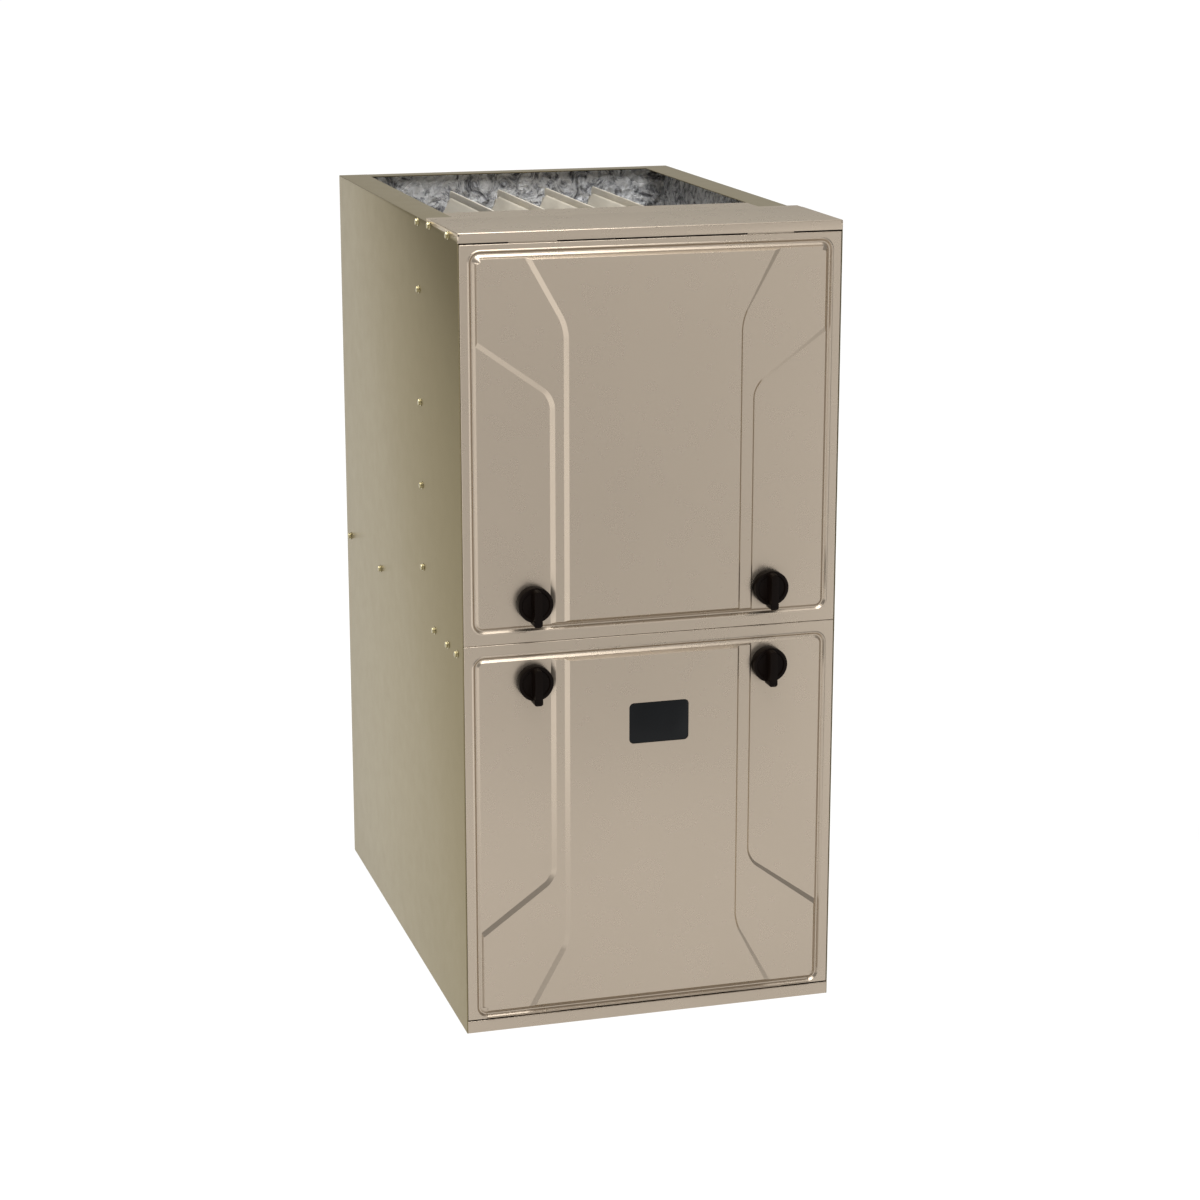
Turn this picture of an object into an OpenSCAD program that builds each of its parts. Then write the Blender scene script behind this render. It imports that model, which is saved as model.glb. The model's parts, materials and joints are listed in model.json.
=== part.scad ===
// Upflow forced air gas furnace. Millimetres, +Z up, the front faces -Y.
// The origin is the middle of the base of the bounding box.

/* [Casing] */
// Height of the casing, from the floor to the raised ledge
casing_h = 1016; // [980:1:1100]
// Width of the casing
casing_w = 486; // [470:1:560]
// Depth of the casing, without doors' knobs
casing_d = 724; // [700:1:800]
// Thickness of the casing steel
sheet = 1.2; // [0.9:0.1:1.6]
// Width of the turned-in flange on each side of the supply outlet
flange_w = 40; // [30:1:46]
// Width of the turned-in flange at the rear of the supply outlet
rear_flange_w = 30; // [20:1:40]
// Width of the turned-in flange at the foot of each panel
foot_flange_w = 26; // [16:1:34]
// Width of the strips that the doors close against
stop_w = 16; // [12:1:22]
// Depth of the raised ledge behind the front
ledge_d = 165; // [140:1:190]
// Height of the raised ledge above the side flanges
ledge_rise = 5; // [4:1:9]
// Height of the lip on the ledge's front
lip_h = 12; // [10:1:16]
// Distance from the front to the supply outlet
outlet_d = 247; // [235:1:262]
// Depth of the duct lip below the front edge of the supply outlet
duct_lip_h = 25; // [15:1:28]
// Height of the base rail under the lower door
base_rail_h = 16; // [14:1:24]
// Depth of the base rail's channel
base_rail_d = 24; // [22:1:36]
// Height of the underside of the blower deck
deck_h = 500; // [494:1:506]
// Height of the seam between the two doors above the deck's underside
seam_rise = 9; // [0:1:20]
// Depth of the lips folded down from the deck
deck_lip = 20; // [12:1:26]
// Distance from the front to the vest panel
vest_d = 214; // [210:1:222]
// Height of the centre rail behind the seam
centre_rail_h = 148; // [146:2:170]
// Depth of the centre rail's lips
centre_lip = 18; // [10:1:20]

/* [Doors] */
// Depth of the doors' folded edges
door_d = 20; // [18:1:24]
// Gap between a door and the side panels
door_gap = 1.3; // [1:0.1:2]
// Gap between the two doors
seam_gap = 1.4; // [1.2:0.1:4]
// Gap above the upper door and below the lower door
end_gap = 2.4; // [2:0.1:3.5]
// Flat border on each side of the stamped panel
border_w = 18; // [14:1:22]
// Flat border between the seam and the upper door's panel
upper_seam_border = 20.5; // [16:0.5:24]
// Flat border between the seam and the lower door's panel
lower_seam_border = 18; // [16:0.5:24]
// Flat border above the upper door's panel
upper_end_border = 8; // [6:0.5:14]
// Flat border below the lower door's panel
lower_end_border = 1; // [1:0.5:10]
// Width of the groove round the stamped panel
groove_w = 7; // [5:0.5:9]
// Depth of the groove
groove_depth = 2; // [1:0.2:3]
// Corner radius of the groove
groove_r = 12; // [8:1:16]
// Height of each stamped step
step_h = 2.8; // [1.5:0.1:3.5]
// Run of each step's sloping wall
step_run = 3; // [1.5:0.1:4]
// Half width of the highest field, the middle column
middle_half = 111; // [100:1:116]
// Half width of the middle field where it flares at the end of the door
flare_half = 156; // [140:1:165]
// Distance from the end of the stamped panel to where the flare ends
flare_drop = 87; // [60:1:110]
// Half width between the two lowest fields, the side columns
side_half = 128; // [124:1:129]
// Distance from the panel's end to the corner of each side column
side_drop = 170; // [150:1:190]
// Distance from the panel's end to the outer tip of each side column
side_tip_drop = 102; // [80:1:120]
// Height of the hooks that hold the doors at their ends
hook_h = 7; // [5:0.5:8]
// Width of each hook
hook_w = 60; // [30:1:90]
// Distance from the middle to each hook
hook_x = 150; // [110:1:180]
// Thickness of the insulation in the lower door
door_liner_t = 10; // [6:1:13]

/* [Sight window] */
// Width of the window
window_w = 82; // [60:1:100]
// Height of the window
window_h = 57; // [40:1:70]
// Corner radius of the window
window_r = 8; // [4:1:12]
// Distance of the window's centre to the right of the middle
window_x = 8; // [0:1:16]
// Distance of the window's centre below the seam
window_drop = 114; // [100:1:124]
// Thickness of the window
window_t = 3; // [2:0.5:4]

/* [Knobs and latches] */
// Diameter of a knob
knob_d = 44; // [38:1:45]
// Reach of a knob in front of the doors' border
knob_reach = 26; // [22:1:32]
// Thickness of a knob's round base
knob_base_t = 13; // [10:1:16]
// Distance of the knobs from the middle
knob_x = 153; // [151:1:158]
// Distance of the knobs above and below the seam
knob_rise = 50; // [48:1:54]
// Diameter of a latch stud
stud_d = 10; // [8:0.5:11]
// Length of a latch blade
blade_l = 28; // [24:1:30]
// Width of a latch blade
blade_w = 6; // [4:0.5:7]
// Thickness of a latch blade
blade_t = 3; // [2:0.5:4]

/* [Primary heat exchanger] */
// Number of cells
cell_count = 4; // [3:1:4]
// Distance between the cells
cell_pitch = 69; // [66:1:74]
// Width of a cell's first pass
pass_w = 44; // [40:1:50]
// Height of the first pass, from its first to its last pass
pass_h = [76, 56, 44];
// Width of each of the later passes
late_pass_w = 28; // [24:1:34]
// Height of each pass above the coil, as a share of the room under the side flanges
pass_share = [0.7636, 0.5245, 0.332];
// Wall of a cell
cell_wall = 1.2; // [0.9:0.1:2]
// Thickness of the crimped seam round a cell
seam_t = 2.8; // [2.4:0.1:4]
// Height of the crimped seam's top below the side flanges
seam_drop = 30; // [28:1:40]
// Space between the box behind the coil and the insulation behind it
rear_space = 17.3; // [12:0.1:26]
// Thickness of the foil faced insulation
foil_t = 10; // [6:1:14]

/* [Condensing coil] */
// Width of the coil
coil_w = 340; // [320:2:360]
// Height of the coil
coil_h = 130; // [110:2:136]
// Number of tubes in a row
tube_count = 8; // [5:1:9]
// Outer diameter of a tube
tube_d = 12; // [9:1:16]
// Number of fins
fin_count = 16; // [10:1:20]
// Thickness of a fin
fin_t = 0.8; // [0.6:0.1:1.5]
// Depth of the box behind the coil
hot_box_d = 46; // [36:1:48]
// Depth of the box in front of the coil
cold_box_d = 44; // [36:1:46]

/* [Inducer and vent] */
// Diameter of the inducer housing
inducer_d = 168; // [160:1:172]
// Depth of the inducer housing
inducer_depth = 62; // [61:1:64]
// Diameter of the inducer wheel
inducer_wheel_d = 118; // [100:1:124]
// Number of the inducer wheel's blades
inducer_blades = 12; // [8:1:16]
// Diameter of the inducer motor
inducer_motor_d = 84; // [70:1:90]
// Length of the inducer motor
inducer_motor_l = 58; // [40:1:60]
// Height of the inducer's axis above the deck
inducer_rise = 92; // [90:1:96]
// Outer diameter of the vent and intake pipes
pipe_d = 60.3; // [58:0.1:62]
// Wall of these pipes
pipe_wall = 3.9; // [3:0.1:4.5]
// Depth of the socket in each side coupling
socket_l = 34; // [25:1:40]

/* [Burners and gas train] */
// Depth of the burner box in front of the vest panel
burner_box_d = 102; // [96:1:106]
// Height of the burner box
burner_box_h = 94; // [88:1:100]
// Diameter of a burner's tube
burner_d = 26; // [20:1:32]
// Distance from the front to the manifold
manifold_y = 84; // [82:1:88]
// Diameter of the manifold
manifold_d = 21.3; // [18:0.1:27]
// Diameter of the gas inlet in the valve
gas_port_d = 21; // [18:0.5:24]
// Distance from the middle to the gas valve
valve_x = 168; // [166:1:172]
// Width, depth and height of the gas valve
valve_size = [58, 58, 76];

/* [Circulation blower] */
// Diameter of the blower wheel
wheel_d = 254; // [230:1:262]
// Gap between each end of the wheel and the housing's side
wheel_gap = 18; // [10:1:30]
// Number of blades on the wheel
blade_count = 36; // [24:1:44]
// Depth of each blade, across its curve
blade_depth = 22; // [16:1:26]
// Distance from the front to the wheel's axis
wheel_y = 400; // [395:1:420]
// Height of the wheel's axis
wheel_z = 238; // [230:1:246]
// Width of the blower housing
scroll_w = 250; // [240:1:270]
// Gap between the wheel and the scroll at the cutoff
cutoff_gap = 10; // [8:1:14]
// Angle of the cutoff from the top, towards the front
cutoff_angle = 20; // [15:1:25]
// Growth of the scroll's radius from the cutoff to the outlet
scroll_growth = 68; // [50:1:74]
// Diameter of the blower's inlets
inlet_d = 216; // [206:1:222]
// Diameter of the blower motor
motor_d = 142; // [120:1:150]
// Length of the blower motor
motor_l = 112; // [90:1:116]
// Diameter of the blower's shaft
shaft_d = 12.7; // [10:0.1:16]

/* [Controls] */
// Distance from the front to the control bracket
bracket_y = 62; // [58:1:70]
// Width of the control bracket
bracket_w = 250; // [230:1:270]
// Height of the control bracket
bracket_h = 196; // [180:1:206]
// Travel of the door switch's plunger
plunger_travel = 6; // [4:0.5:7]
// Distance of the door switch from the middle, to the left
switch_x = 60; // [50:1:80]
// Diameter of the conduit hole in the right side panel
conduit_d = 22.2; // [20:0.1:28]

/* [Clearances] */
// Clearance between soft pieces and what they lie against
soft_gap = 0.3; // [0.2:0.1:0.5]
// Running clearance of shafts and studs, on the radius
run_gap = 0.05; // [0.03:0.01:0.08]
// Clearance of a stud in the door and of a blade behind the rail
latch_gap = 0.5; // [0.4:0.1:1]

/* [Hidden] */
$fn = 64;

half_w = casing_w / 2;
in_w = half_w - sheet;
seam_h = deck_h + seam_rise;
window_z = seam_h - window_drop;
front_y = (knob_reach - casing_d) / 2;
back_in_y = front_y + casing_d - sheet;
flange_z = casing_h - ledge_rise;
under_flange_z = flange_z - sheet;
lip_z = casing_h - lip_h;
ledge_y = front_y + ledge_d;
deck_top = deck_h + sheet;
vest_y = front_y + vest_d;
vest_back_y = vest_y + sheet;
coil_rise = 16;
coil_z0 = deck_top + coil_rise;
coil_z1 = coil_z0 + coil_h;
pass_z = [for (share = pass_share) coil_z1 + share * (flange_z - coil_z1)];
stop_y = front_y + door_d;
rail_back_y = stop_y + sheet;
outlet_half = half_w - flange_w;

beige = [0.68, 0.64, 0.55];
beige_side = [0.60, 0.56, 0.48];
galvanized = [0.66, 0.68, 0.69];
aluminized = [0.62, 0.61, 0.58];
foil = [0.80, 0.81, 0.83];
black = [0.10, 0.09, 0.08];
brass = [0.75, 0.62, 0.30];

// A block from its low corner to its high corner
module span(low, high) {
    translate(low)
        cube(high - low);
}

// A cylinder along Y from y0 to y1
module rod_y(d, x, z, y0, y1) {
    translate([x, y1, z])
        rotate([90, 0, 0])
            cylinder(h = y1 - y0, d = d);
}

// A cylinder along X from x0 to x1
module rod_x(d, y, z, x0, x1) {
    translate([x0, y, z])
        rotate([0, 90, 0])
            cylinder(h = x1 - x0, d = d);
}

// A cylinder along Z from z0 to z1
module rod_z(d, x, y, z0, z1) {
    translate([x, y, z0])
        cylinder(h = z1 - z0, d = d);
}

// An outline in X and Z, pushed back from y0 to y1
module slab_y(y0, y1) {
    translate([0, y1, 0])
        rotate([90, 0, 0])
            linear_extrude(y1 - y0)
                children();
}

// An outline in Y and Z, pushed from x0 to x1
module slab_x(x0, x1) {
    translate([x0, 0, 0])
        rotate([90, 0, 90])
            linear_extrude(x1 - x0)
                children();
}

// A rectangle with round corners, about the origin
module round_rect(w, h, r) {
    square([w, h - 2 * r], center = true);
    square([w - 2 * r, h], center = true);
    for (x = [-1, 1], z = [-1, 1])
        translate([x * (w / 2 - r), z * (h / 2 - r)])
            circle(r = r);
}

// ---- casing ----

vent_y = vest_y - cold_box_d - inducer_depth / 2;
inducer_z = deck_top + inducer_rise;
vent_rise = inducer_d / 2 - pipe_d / 2 + 4;
vent_z = inducer_z + vent_rise;
intake_y = vest_y - 58;
burner_z = pass_z[0];
gas_y = front_y + manifold_y;
grommet_lip = 4;
grommet_hole_d = gas_port_d + 22;
coupling_d = pipe_d + 12.5;
drain_d = 26;
drain_bore_d = 19;
drain_y = vest_y - 34;
drain_z = deck_top + 30;
conduit_y = front_y + 70;
conduit_z = 720;

module side_panel() {
    color(beige_side)
        difference() {
            union() {
                span([-half_w, front_y, 0], [-in_w, front_y + casing_d, under_flange_z]);
                span([-half_w, ledge_y, under_flange_z],
                     [-outlet_half, front_y + casing_d, flange_z]);
                span([-half_w, front_y + base_rail_d, 0],
                     [-half_w + foot_flange_w, front_y + casing_d, sheet]);
                span([-half_w, stop_y, base_rail_h],
                     [-in_w + stop_w, rail_back_y, under_flange_z]);
            }
            // the ledge's lip closes over the front corner
            span([-half_w - 1, front_y - 1, lip_z], [-in_w + 1, front_y + sheet, flange_z + 1]);
        }
}

module left_side_panel() {
    side_panel();
}

module right_side_panel() {
    color(beige_side)
        difference() {
            mirror([1, 0, 0])
                side_panel();
            rod_x(coupling_d, vent_y, vent_z, in_w - 1, half_w + 1);
            rod_x(coupling_d, intake_y, burner_z, in_w - 1, half_w + 1);
            rod_x(grommet_hole_d, gas_y, burner_z, in_w - 1, half_w + 1);
            rod_x(drain_d, drain_y, drain_z, in_w - 1, half_w + 1);
            rod_x(conduit_d, conduit_y, conduit_z, in_w - 1, half_w + 1);
        }
}

module back_panel() {
    color(beige_side) {
        span([-in_w, back_in_y, sheet], [in_w, front_y + casing_d, under_flange_z]);
        span([-outlet_half, front_y + casing_d - rear_flange_w, under_flange_z],
             [outlet_half, front_y + casing_d, flange_z]);
        span([-half_w + foot_flange_w, front_y + casing_d - foot_flange_w, 0],
             [half_w - foot_flange_w, front_y + casing_d, sheet]);
    }
}

// Raised ledge with its lip, and the lower strip that reaches the outlet
module top_front_plate() {
    outlet_y = front_y + outlet_d;
    color(beige) {
        span([-half_w, front_y, lip_z], [half_w, front_y + sheet, casing_h]);
        span([-half_w, front_y, casing_h - sheet], [half_w, ledge_y, casing_h]);
        span([-half_w, ledge_y - sheet, under_flange_z], [half_w, ledge_y, casing_h]);
        for (side = [-1, 1])
            translate([side > 0 ? half_w - sheet : -half_w, front_y, under_flange_z])
                cube([sheet, ledge_d, ledge_rise + sheet]);
        span([-outlet_half, ledge_y - sheet, under_flange_z], [outlet_half, outlet_y, flange_z]);
        span([-outlet_half, outlet_y - sheet, flange_z - duct_lip_h],
             [outlet_half, outlet_y, flange_z]);
    }
}

// Channel that the lower door's hooks stand in
module base_rail() {
    back = front_y + base_rail_d;
    color(beige) {
        span([-in_w, front_y, 0], [in_w, front_y + sheet, base_rail_h]);
        span([-in_w, front_y, 0], [in_w, back, sheet]);
        span([-in_w, back - sheet, 0], [in_w, back, base_rail_h]);
    }
}

module knob_places(rows) {
    for (side = [-1, 1], row = rows)
        translate([side * knob_x, 0, seam_h + row * knob_rise])
            children();
}

module centre_rail() {
    reach = in_w - stop_w;
    low = seam_h - centre_rail_h / 2;
    high = seam_h + centre_rail_h / 2;
    slot_w = blade_w + 4 * latch_gap;
    slot_l = blade_l + 4 * latch_gap;
    color(galvanized)
        difference() {
            union() {
                span([-reach, stop_y, low], [reach, rail_back_y, high]);
                span([-reach, rail_back_y, low], [reach, rail_back_y + centre_lip, low + sheet]);
                span([-reach, rail_back_y, high - sheet], [reach, rail_back_y + centre_lip, high]);
            }
            knob_places([-1, 1])
                slab_y(stop_y - 1, rail_back_y + 1) {
                    square([slot_w, slot_l], center = true);
                    circle(d = stud_d + 4 * latch_gap);
                }
            rod_y(plunger_d + 2, -switch_x, switch_z, stop_y - 1, rail_back_y + 1);
        }
}

module blower_deck() {
    color(galvanized)
        difference() {
            union() {
                span([-in_w, rail_back_y, deck_h], [in_w, back_in_y, deck_top]);
                for (side = [-1, 1])
                    translate([side > 0 ? in_w - sheet : -in_w, rail_back_y, deck_h - deck_lip])
                        cube([sheet, casing_d - door_d - 2 * sheet, deck_lip]);
            }
            span([-scroll_w / 2, throat_y0 + sheet, deck_h - 1],
                 [scroll_w / 2, throat_y1 - sheet, deck_top + 1]);
        }
}

function cell_x(i) = (i - (cell_count - 1) / 2) * cell_pitch;
port_w = pass_w - 2 * cell_wall;
port_h = pass_h[0] - 2 * cell_wall;
coil_front_y = vest_back_y;
coil_port_w = coil_w - 12;
coil_port_h = coil_h - 8;
limit_x = 0;
limit_z = pass_z[1] - 38;

// An upright slot outline
module stadium(w, h) {
    square([w, h - w], center = true);
    for (end = [-1, 1])
        translate([0, end * (h - w) / 2])
            circle(d = w);
}

module vest_panel() {
    flange_d = 16;
    color(galvanized)
        difference() {
            union() {
                span([-in_w, vest_y, deck_top], [in_w, vest_back_y, under_flange_z]);
                for (side = [-1, 1])
                    translate([side > 0 ? in_w - sheet : -in_w, vest_y - flange_d, deck_top])
                        cube([sheet, flange_d, under_flange_z - deck_top]);
            }
            for (i = [0 : cell_count - 1])
                translate([cell_x(i), 0, pass_z[0]])
                    slab_y(vest_y - 1, vest_back_y + 1)
                        stadium(port_w, port_h);
            span([-coil_port_w / 2, vest_y - 1, coil_z0 + (coil_h - coil_port_h) / 2],
                 [coil_port_w / 2, vest_back_y + 1, coil_z0 + (coil_h + coil_port_h) / 2]);
            rod_y(limit_neck_d + 2, limit_x, limit_z, vest_y - 1, vest_back_y + 1);
        }
}

// ---- insulation ----

liner_y0 = vest_back_y + soft_gap;
liner_y1 = back_in_y - foil_t - 2 * soft_gap;
liner_z0 = deck_top + soft_gap;
liner_z1 = under_flange_z - soft_gap;

module foil_liner_side(side) {
    x0 = in_w - soft_gap - foil_t;
    x1 = in_w - soft_gap;
    color(foil)
        span([side > 0 ? x0 : -x1, liner_y0, liner_z0], [side > 0 ? x1 : -x0, liner_y1, liner_z1]);
}

module foil_liner_sides() {
    for (side = [-1, 1])
        foil_liner_side(side);
}

module foil_liner_rear() {
    color(foil)
        span([-in_w + soft_gap, back_in_y - soft_gap - foil_t, liner_z0],
             [in_w - soft_gap, back_in_y - soft_gap, liner_z1]);
}

// ---- heat exchangers ----

cell_end_y = back_in_y - soft_gap - foil_t - rear_space - hot_box_d;
function bend_r(i) = (pass_z[i] - pass_z[i + 1]) / 2;
rear_bend_y = cell_end_y - 30 - bend_r(0) - pass_h[1] / 2;
front_bend_y = vest_back_y + 14 + bend_r(1) + pass_h[2] / 2;

// One straight pass, shrunk by the wall when it is the hollow
module cell_pass(i, y0, y1, wall) {
    w = (i == 0 ? pass_w : late_pass_w) - 2 * wall;
    translate([0, 0, pass_z[i]])
        slab_y(y0, y1)
            stadium(w, pass_h[i] - 2 * wall);
}

// Half a turn between two passes
module cell_bend(i, y, h, wall, back) {
    translate([0, y, (pass_z[i] + pass_z[i + 1]) / 2])
        mirror([0, back ? 0 : 1, 0])
            rotate([0, 90, 0])
                rotate_extrude(angle = 180)
                    translate([bend_r(i), 0])
                        rotate(90)
                            stadium(late_pass_w - 2 * wall, h - 2 * wall);
}

module serpentine(wall, past) {
    cell_pass(0, vest_back_y - past, rear_bend_y, wall);
    cell_bend(0, rear_bend_y, pass_h[1], wall, true);
    cell_pass(1, front_bend_y, rear_bend_y, wall);
    cell_bend(1, front_bend_y, pass_h[2], wall, false);
    cell_pass(2, front_bend_y, cell_end_y + past, wall);
}

// A folded cell: three passes in line, inside the crimped seam of its halves
module heat_cell(i) {
    seam_z0 = pass_z[2] - pass_h[2] / 2 - 14;
    seam_z1 = flange_z - seam_drop;
    seam_y0 = vest_back_y;
    seam_y1 = cell_end_y - 2;
    translate([cell_x(i), 0, 0])
        color(aluminized)
            difference() {
                union() {
                    serpentine(0, 0);
                    slab_x(-seam_t / 2, seam_t / 2)
                        translate([(seam_y0 + seam_y1) / 2, (seam_z0 + seam_z1) / 2])
                            round_rect(seam_y1 - seam_y0, seam_z1 - seam_z0, 12);
                }
                serpentine(cell_wall, 1);
            }
}

module heat_cell_1() {
    heat_cell(0);
}

module heat_cell_2() {
    heat_cell(1);
}

module heat_cell_3() {
    heat_cell(2);
}

module heat_cell_4() {
    heat_cell(3);
}

hot_box_rim = 18;
hot_box_w = (cell_count - 1) * cell_pitch + late_pass_w + 2 * hot_box_rim;
hot_box_top = pass_z[2] + pass_h[2] / 2 + hot_box_rim - 2;
hot_box_z0 = coil_z0 - 4;
port_rim = 10;

// Box that takes the flue gas from the cells down to the coil
module hot_collector_box() {
    y0 = cell_end_y;
    y1 = cell_end_y + hot_box_d;
    color(aluminized)
        difference() {
            span([-hot_box_w / 2, y0, hot_box_z0], [hot_box_w / 2, y1, hot_box_top]);
            span([-hot_box_w / 2 + sheet, y0 + sheet, hot_box_z0 + sheet],
                 [hot_box_w / 2 - sheet, y1 - sheet, hot_box_top - sheet]);
            for (i = [0 : cell_count - 1])
                translate([cell_x(i), 0, pass_z[2]])
                    slab_y(y0 - 1, y0 + sheet + 1)
                        stadium(late_pass_w - 2 * cell_wall, pass_h[2] - 2 * cell_wall);
            span([-hot_box_w / 2 + port_rim, y0 - 1, hot_box_z0 + port_rim],
                 [hot_box_w / 2 - port_rim, y0 + sheet + 1, coil_z1 - port_rim / 2]);
        }
}

coil_plate_t = 2;
coil_rows = [0.3, 0.7];
tube_wall = 0.8;
fin_inset = 6;

module coil_tube_places() {
    step = coil_w / tube_count;
    for (i = [0 : tube_count - 1], row = [0, 1])
        translate([(i - tube_count / 2 + 0.25 + row / 2) * step, coil_z0 + coil_h * coil_rows[row]])
            children();
}

// A plate or a fin, with a fitted hole round each tube
module coil_sheet(y0, y1, inset) {
    slab_y(y0, y1)
        difference() {
            translate([0, (coil_z0 + coil_z1) / 2])
                square([coil_w, coil_h - 2 * inset], center = true);
            coil_tube_places()
                circle(d = tube_d + 2 * run_gap);
        }
}

// Two rows of tubes through fins, between two end plates
module condensing_coil() {
    y0 = coil_front_y;
    y1 = cell_end_y;
    fin_step = (y1 - y0 - 2 * coil_plate_t) / (fin_count + 1);
    color(galvanized) {
        coil_sheet(y0, y0 + coil_plate_t, 0);
        coil_sheet(y1 - coil_plate_t, y1, 0);
        for (i = [1 : fin_count])
            coil_sheet(y0 + coil_plate_t + i * fin_step - fin_t / 2,
                       y0 + coil_plate_t + i * fin_step + fin_t / 2, fin_inset);
        slab_y(y0, y1)
            coil_tube_places()
                difference() {
                    circle(d = tube_d);
                    circle(d = tube_d - 2 * tube_wall);
                }
    }
}

cold_box_w = coil_w + 10;

// Plastic box that gathers the flue gas and the condensate in front of the coil
module cold_collector_box() {
    wall = 3;
    rim = 6;
    z0 = coil_z0 - rim;
    z1 = coil_z1 + rim;
    y0 = vest_y - cold_box_d;
    mouth = 62;
    drain_tube_d = 16;
    drain_tube_bore = 11;
    color(black)
        difference() {
            union() {
                slab_y(y0, vest_y)
                    translate([0, (z0 + z1) / 2])
                        round_rect(cold_box_w, z1 - z0, 10);
                rod_x(drain_tube_d, drain_y, drain_z, cold_box_w / 2 - wall - 1, trap_x0);
            }
            slab_y(y0 + wall, vest_y + 1)
                translate([0, (z0 + z1) / 2])
                    round_rect(cold_box_w - 2 * wall, z1 - z0 - 2 * wall, 7);
            rod_y(mouth, 0, inducer_z, y0 - 1, y0 + wall + 1);
            rod_x(drain_tube_bore, drain_y, drain_z, cold_box_w / 2 - 2 * wall - 2, trap_x0 + 1);
        }
}

trap_x0 = cold_box_w / 2 + 10;
trap_x1 = in_w - 12;

// Trap beside the box, with the drain's stub in the right side panel
module condensate_trap() {
    trap_half = 18;
    trap_h = 96;
    cap_d = 22;
    cap_h = 10;
    color(black)
        difference() {
            union() {
                span([trap_x0, drain_y - trap_half, deck_top],
                     [trap_x1, drain_y + trap_half, deck_top + trap_h]);
                rod_z(cap_d, (trap_x0 + trap_x1) / 2, drain_y, deck_top + trap_h,
                      deck_top + trap_h + cap_h);
                rod_x(drain_d - 1, drain_y, drain_z, trap_x1 - 1, half_w);
            }
            rod_x(drain_bore_d, drain_y, drain_z, trap_x1 + 2, half_w + 1);
        }
}

// ---- inducer ----

inducer_back_y = vest_y - cold_box_d;
inducer_front_y = inducer_back_y - inducer_depth;
outlet_x = 100;
outlet_box = pipe_d - 12;

module inducer_outline(inset) {
    circle(d = inducer_d - 2 * inset, $fn = 96);
    translate([0, vent_rise - outlet_box / 2 + inset])
        square([outlet_x - inset, outlet_box - 2 * inset]);
}

module inducer_housing() {
    wall = 2.5;
    color(galvanized)
        difference() {
            union() {
                translate([0, 0, inducer_z])
                    slab_y(inducer_front_y, inducer_back_y)
                        inducer_outline(0);
                rod_x(pipe_d, vent_y, vent_z, outlet_x - 2, coupling_x0);
                rod_x(tube_id, vent_y, inducer_z, -inducer_d / 2 - nipple_l, -inducer_d / 2 + 2);
            }
            translate([0, 0, inducer_z])
                slab_y(inducer_front_y + wall, inducer_back_y - wall)
                    inducer_outline(wall);
            rod_x(pipe_d - 2 * pipe_wall, vent_y, vent_z, outlet_x - 6, coupling_x0 + 1);
            rod_y(60, 0, inducer_z, inducer_back_y - wall - 1, inducer_back_y + 1);
            rod_y(inducer_shaft_d + 4, 0, inducer_z, inducer_front_y - 1,
                  inducer_front_y + wall + 1);
        }
}

inducer_shaft_d = 8;
inducer_wheel_t = 38;

// Radial blades on a back disc, a hub and the shaft that turns in the motor
module inducer_wheel() {
    y0 = inducer_front_y + 10;
    y1 = y0 + inducer_wheel_t;
    color(galvanized) {
        rod_y(inducer_wheel_d, 0, inducer_z, y0, y0 + 1.5);
        rod_y(24, 0, inducer_z, y0, y1 - 6);
        for (i = [0 : inducer_blades - 1])
            translate([0, 0, inducer_z])
                rotate([0, i * 360 / inducer_blades, 0])
                    span([10, y0, -0.8], [inducer_wheel_d / 2 - 2, y1, 0.8]);
        rod_y(inducer_shaft_d, 0, inducer_z, inducer_front_y - 22, y0 + 2);
    }
}

module inducer_motor() {
    cap_l = 14;
    leg_r = inducer_motor_d / 2 + 8;
    color([0.35, 0.36, 0.37])
        difference() {
            union() {
                rod_y(inducer_motor_d - 14, 0, inducer_z, inducer_front_y - inducer_motor_l,
                      inducer_front_y - 3);
                rod_y(inducer_motor_d, 0, inducer_z, inducer_front_y - inducer_motor_l + cap_l,
                      inducer_front_y - cap_l);
                for (i = [0 : 2])
                    translate([0, 0, inducer_z])
                        rotate([0, 90 + i * 120, 0]) {
                            translate([leg_r, inducer_front_y, 0])
                                rotate([90, 0, 0])
                                    cylinder(h = cap_l + 6, d = 8);
                            span([inducer_motor_d / 2 - 4, inducer_front_y - cap_l - 6, -5],
                                 [leg_r + 4, inducer_front_y - cap_l - 1, 5]);
                        }
            }
            rod_y(inducer_shaft_d + 2 * run_gap, 0, inducer_z, inducer_front_y - 24,
                  inducer_front_y);
        }
}

coupling_x0 = half_w - socket_l - 4;
socket_d = pipe_d + 0.4;

// Socket in the side panel that takes the next pipe
module side_coupling(y) {
    flange_l = 3;
    color(black)
        difference() {
            union() {
                rod_x(coupling_d - 2 * soft_gap, y, 0, coupling_x0, half_w);
                rod_x(coupling_d + 8, y, 0, in_w - flange_l, in_w);
            }
            rod_x(socket_d, y, 0, half_w - socket_l, half_w + 1);
            rod_x(pipe_d - 2 * pipe_wall, y, 0, coupling_x0 - 1, half_w);
        }
}

module vent_coupling() {
    translate([0, 0, vent_z])
        side_coupling(vent_y);
}

// ---- burners and gas train ----

box_side_room = 34;
box_half = cell_x(cell_count - 1) + pass_w / 2 + box_side_room;
box_y0 = vest_y - burner_box_d;
box_z0 = burner_z - burner_box_h / 2;
box_z1 = burner_z + burner_box_h / 2;

module air_intake_coupling() {
    translate([0, 0, burner_z]) {
        side_coupling(intake_y);
        color(black)
            difference() {
                rod_x(pipe_d, intake_y, 0, box_half, coupling_x0 + 0.1);
                rod_x(pipe_d - 2 * pipe_wall, intake_y, 0, box_half - 1, coupling_x0 + 1);
            }
    }
}

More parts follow.
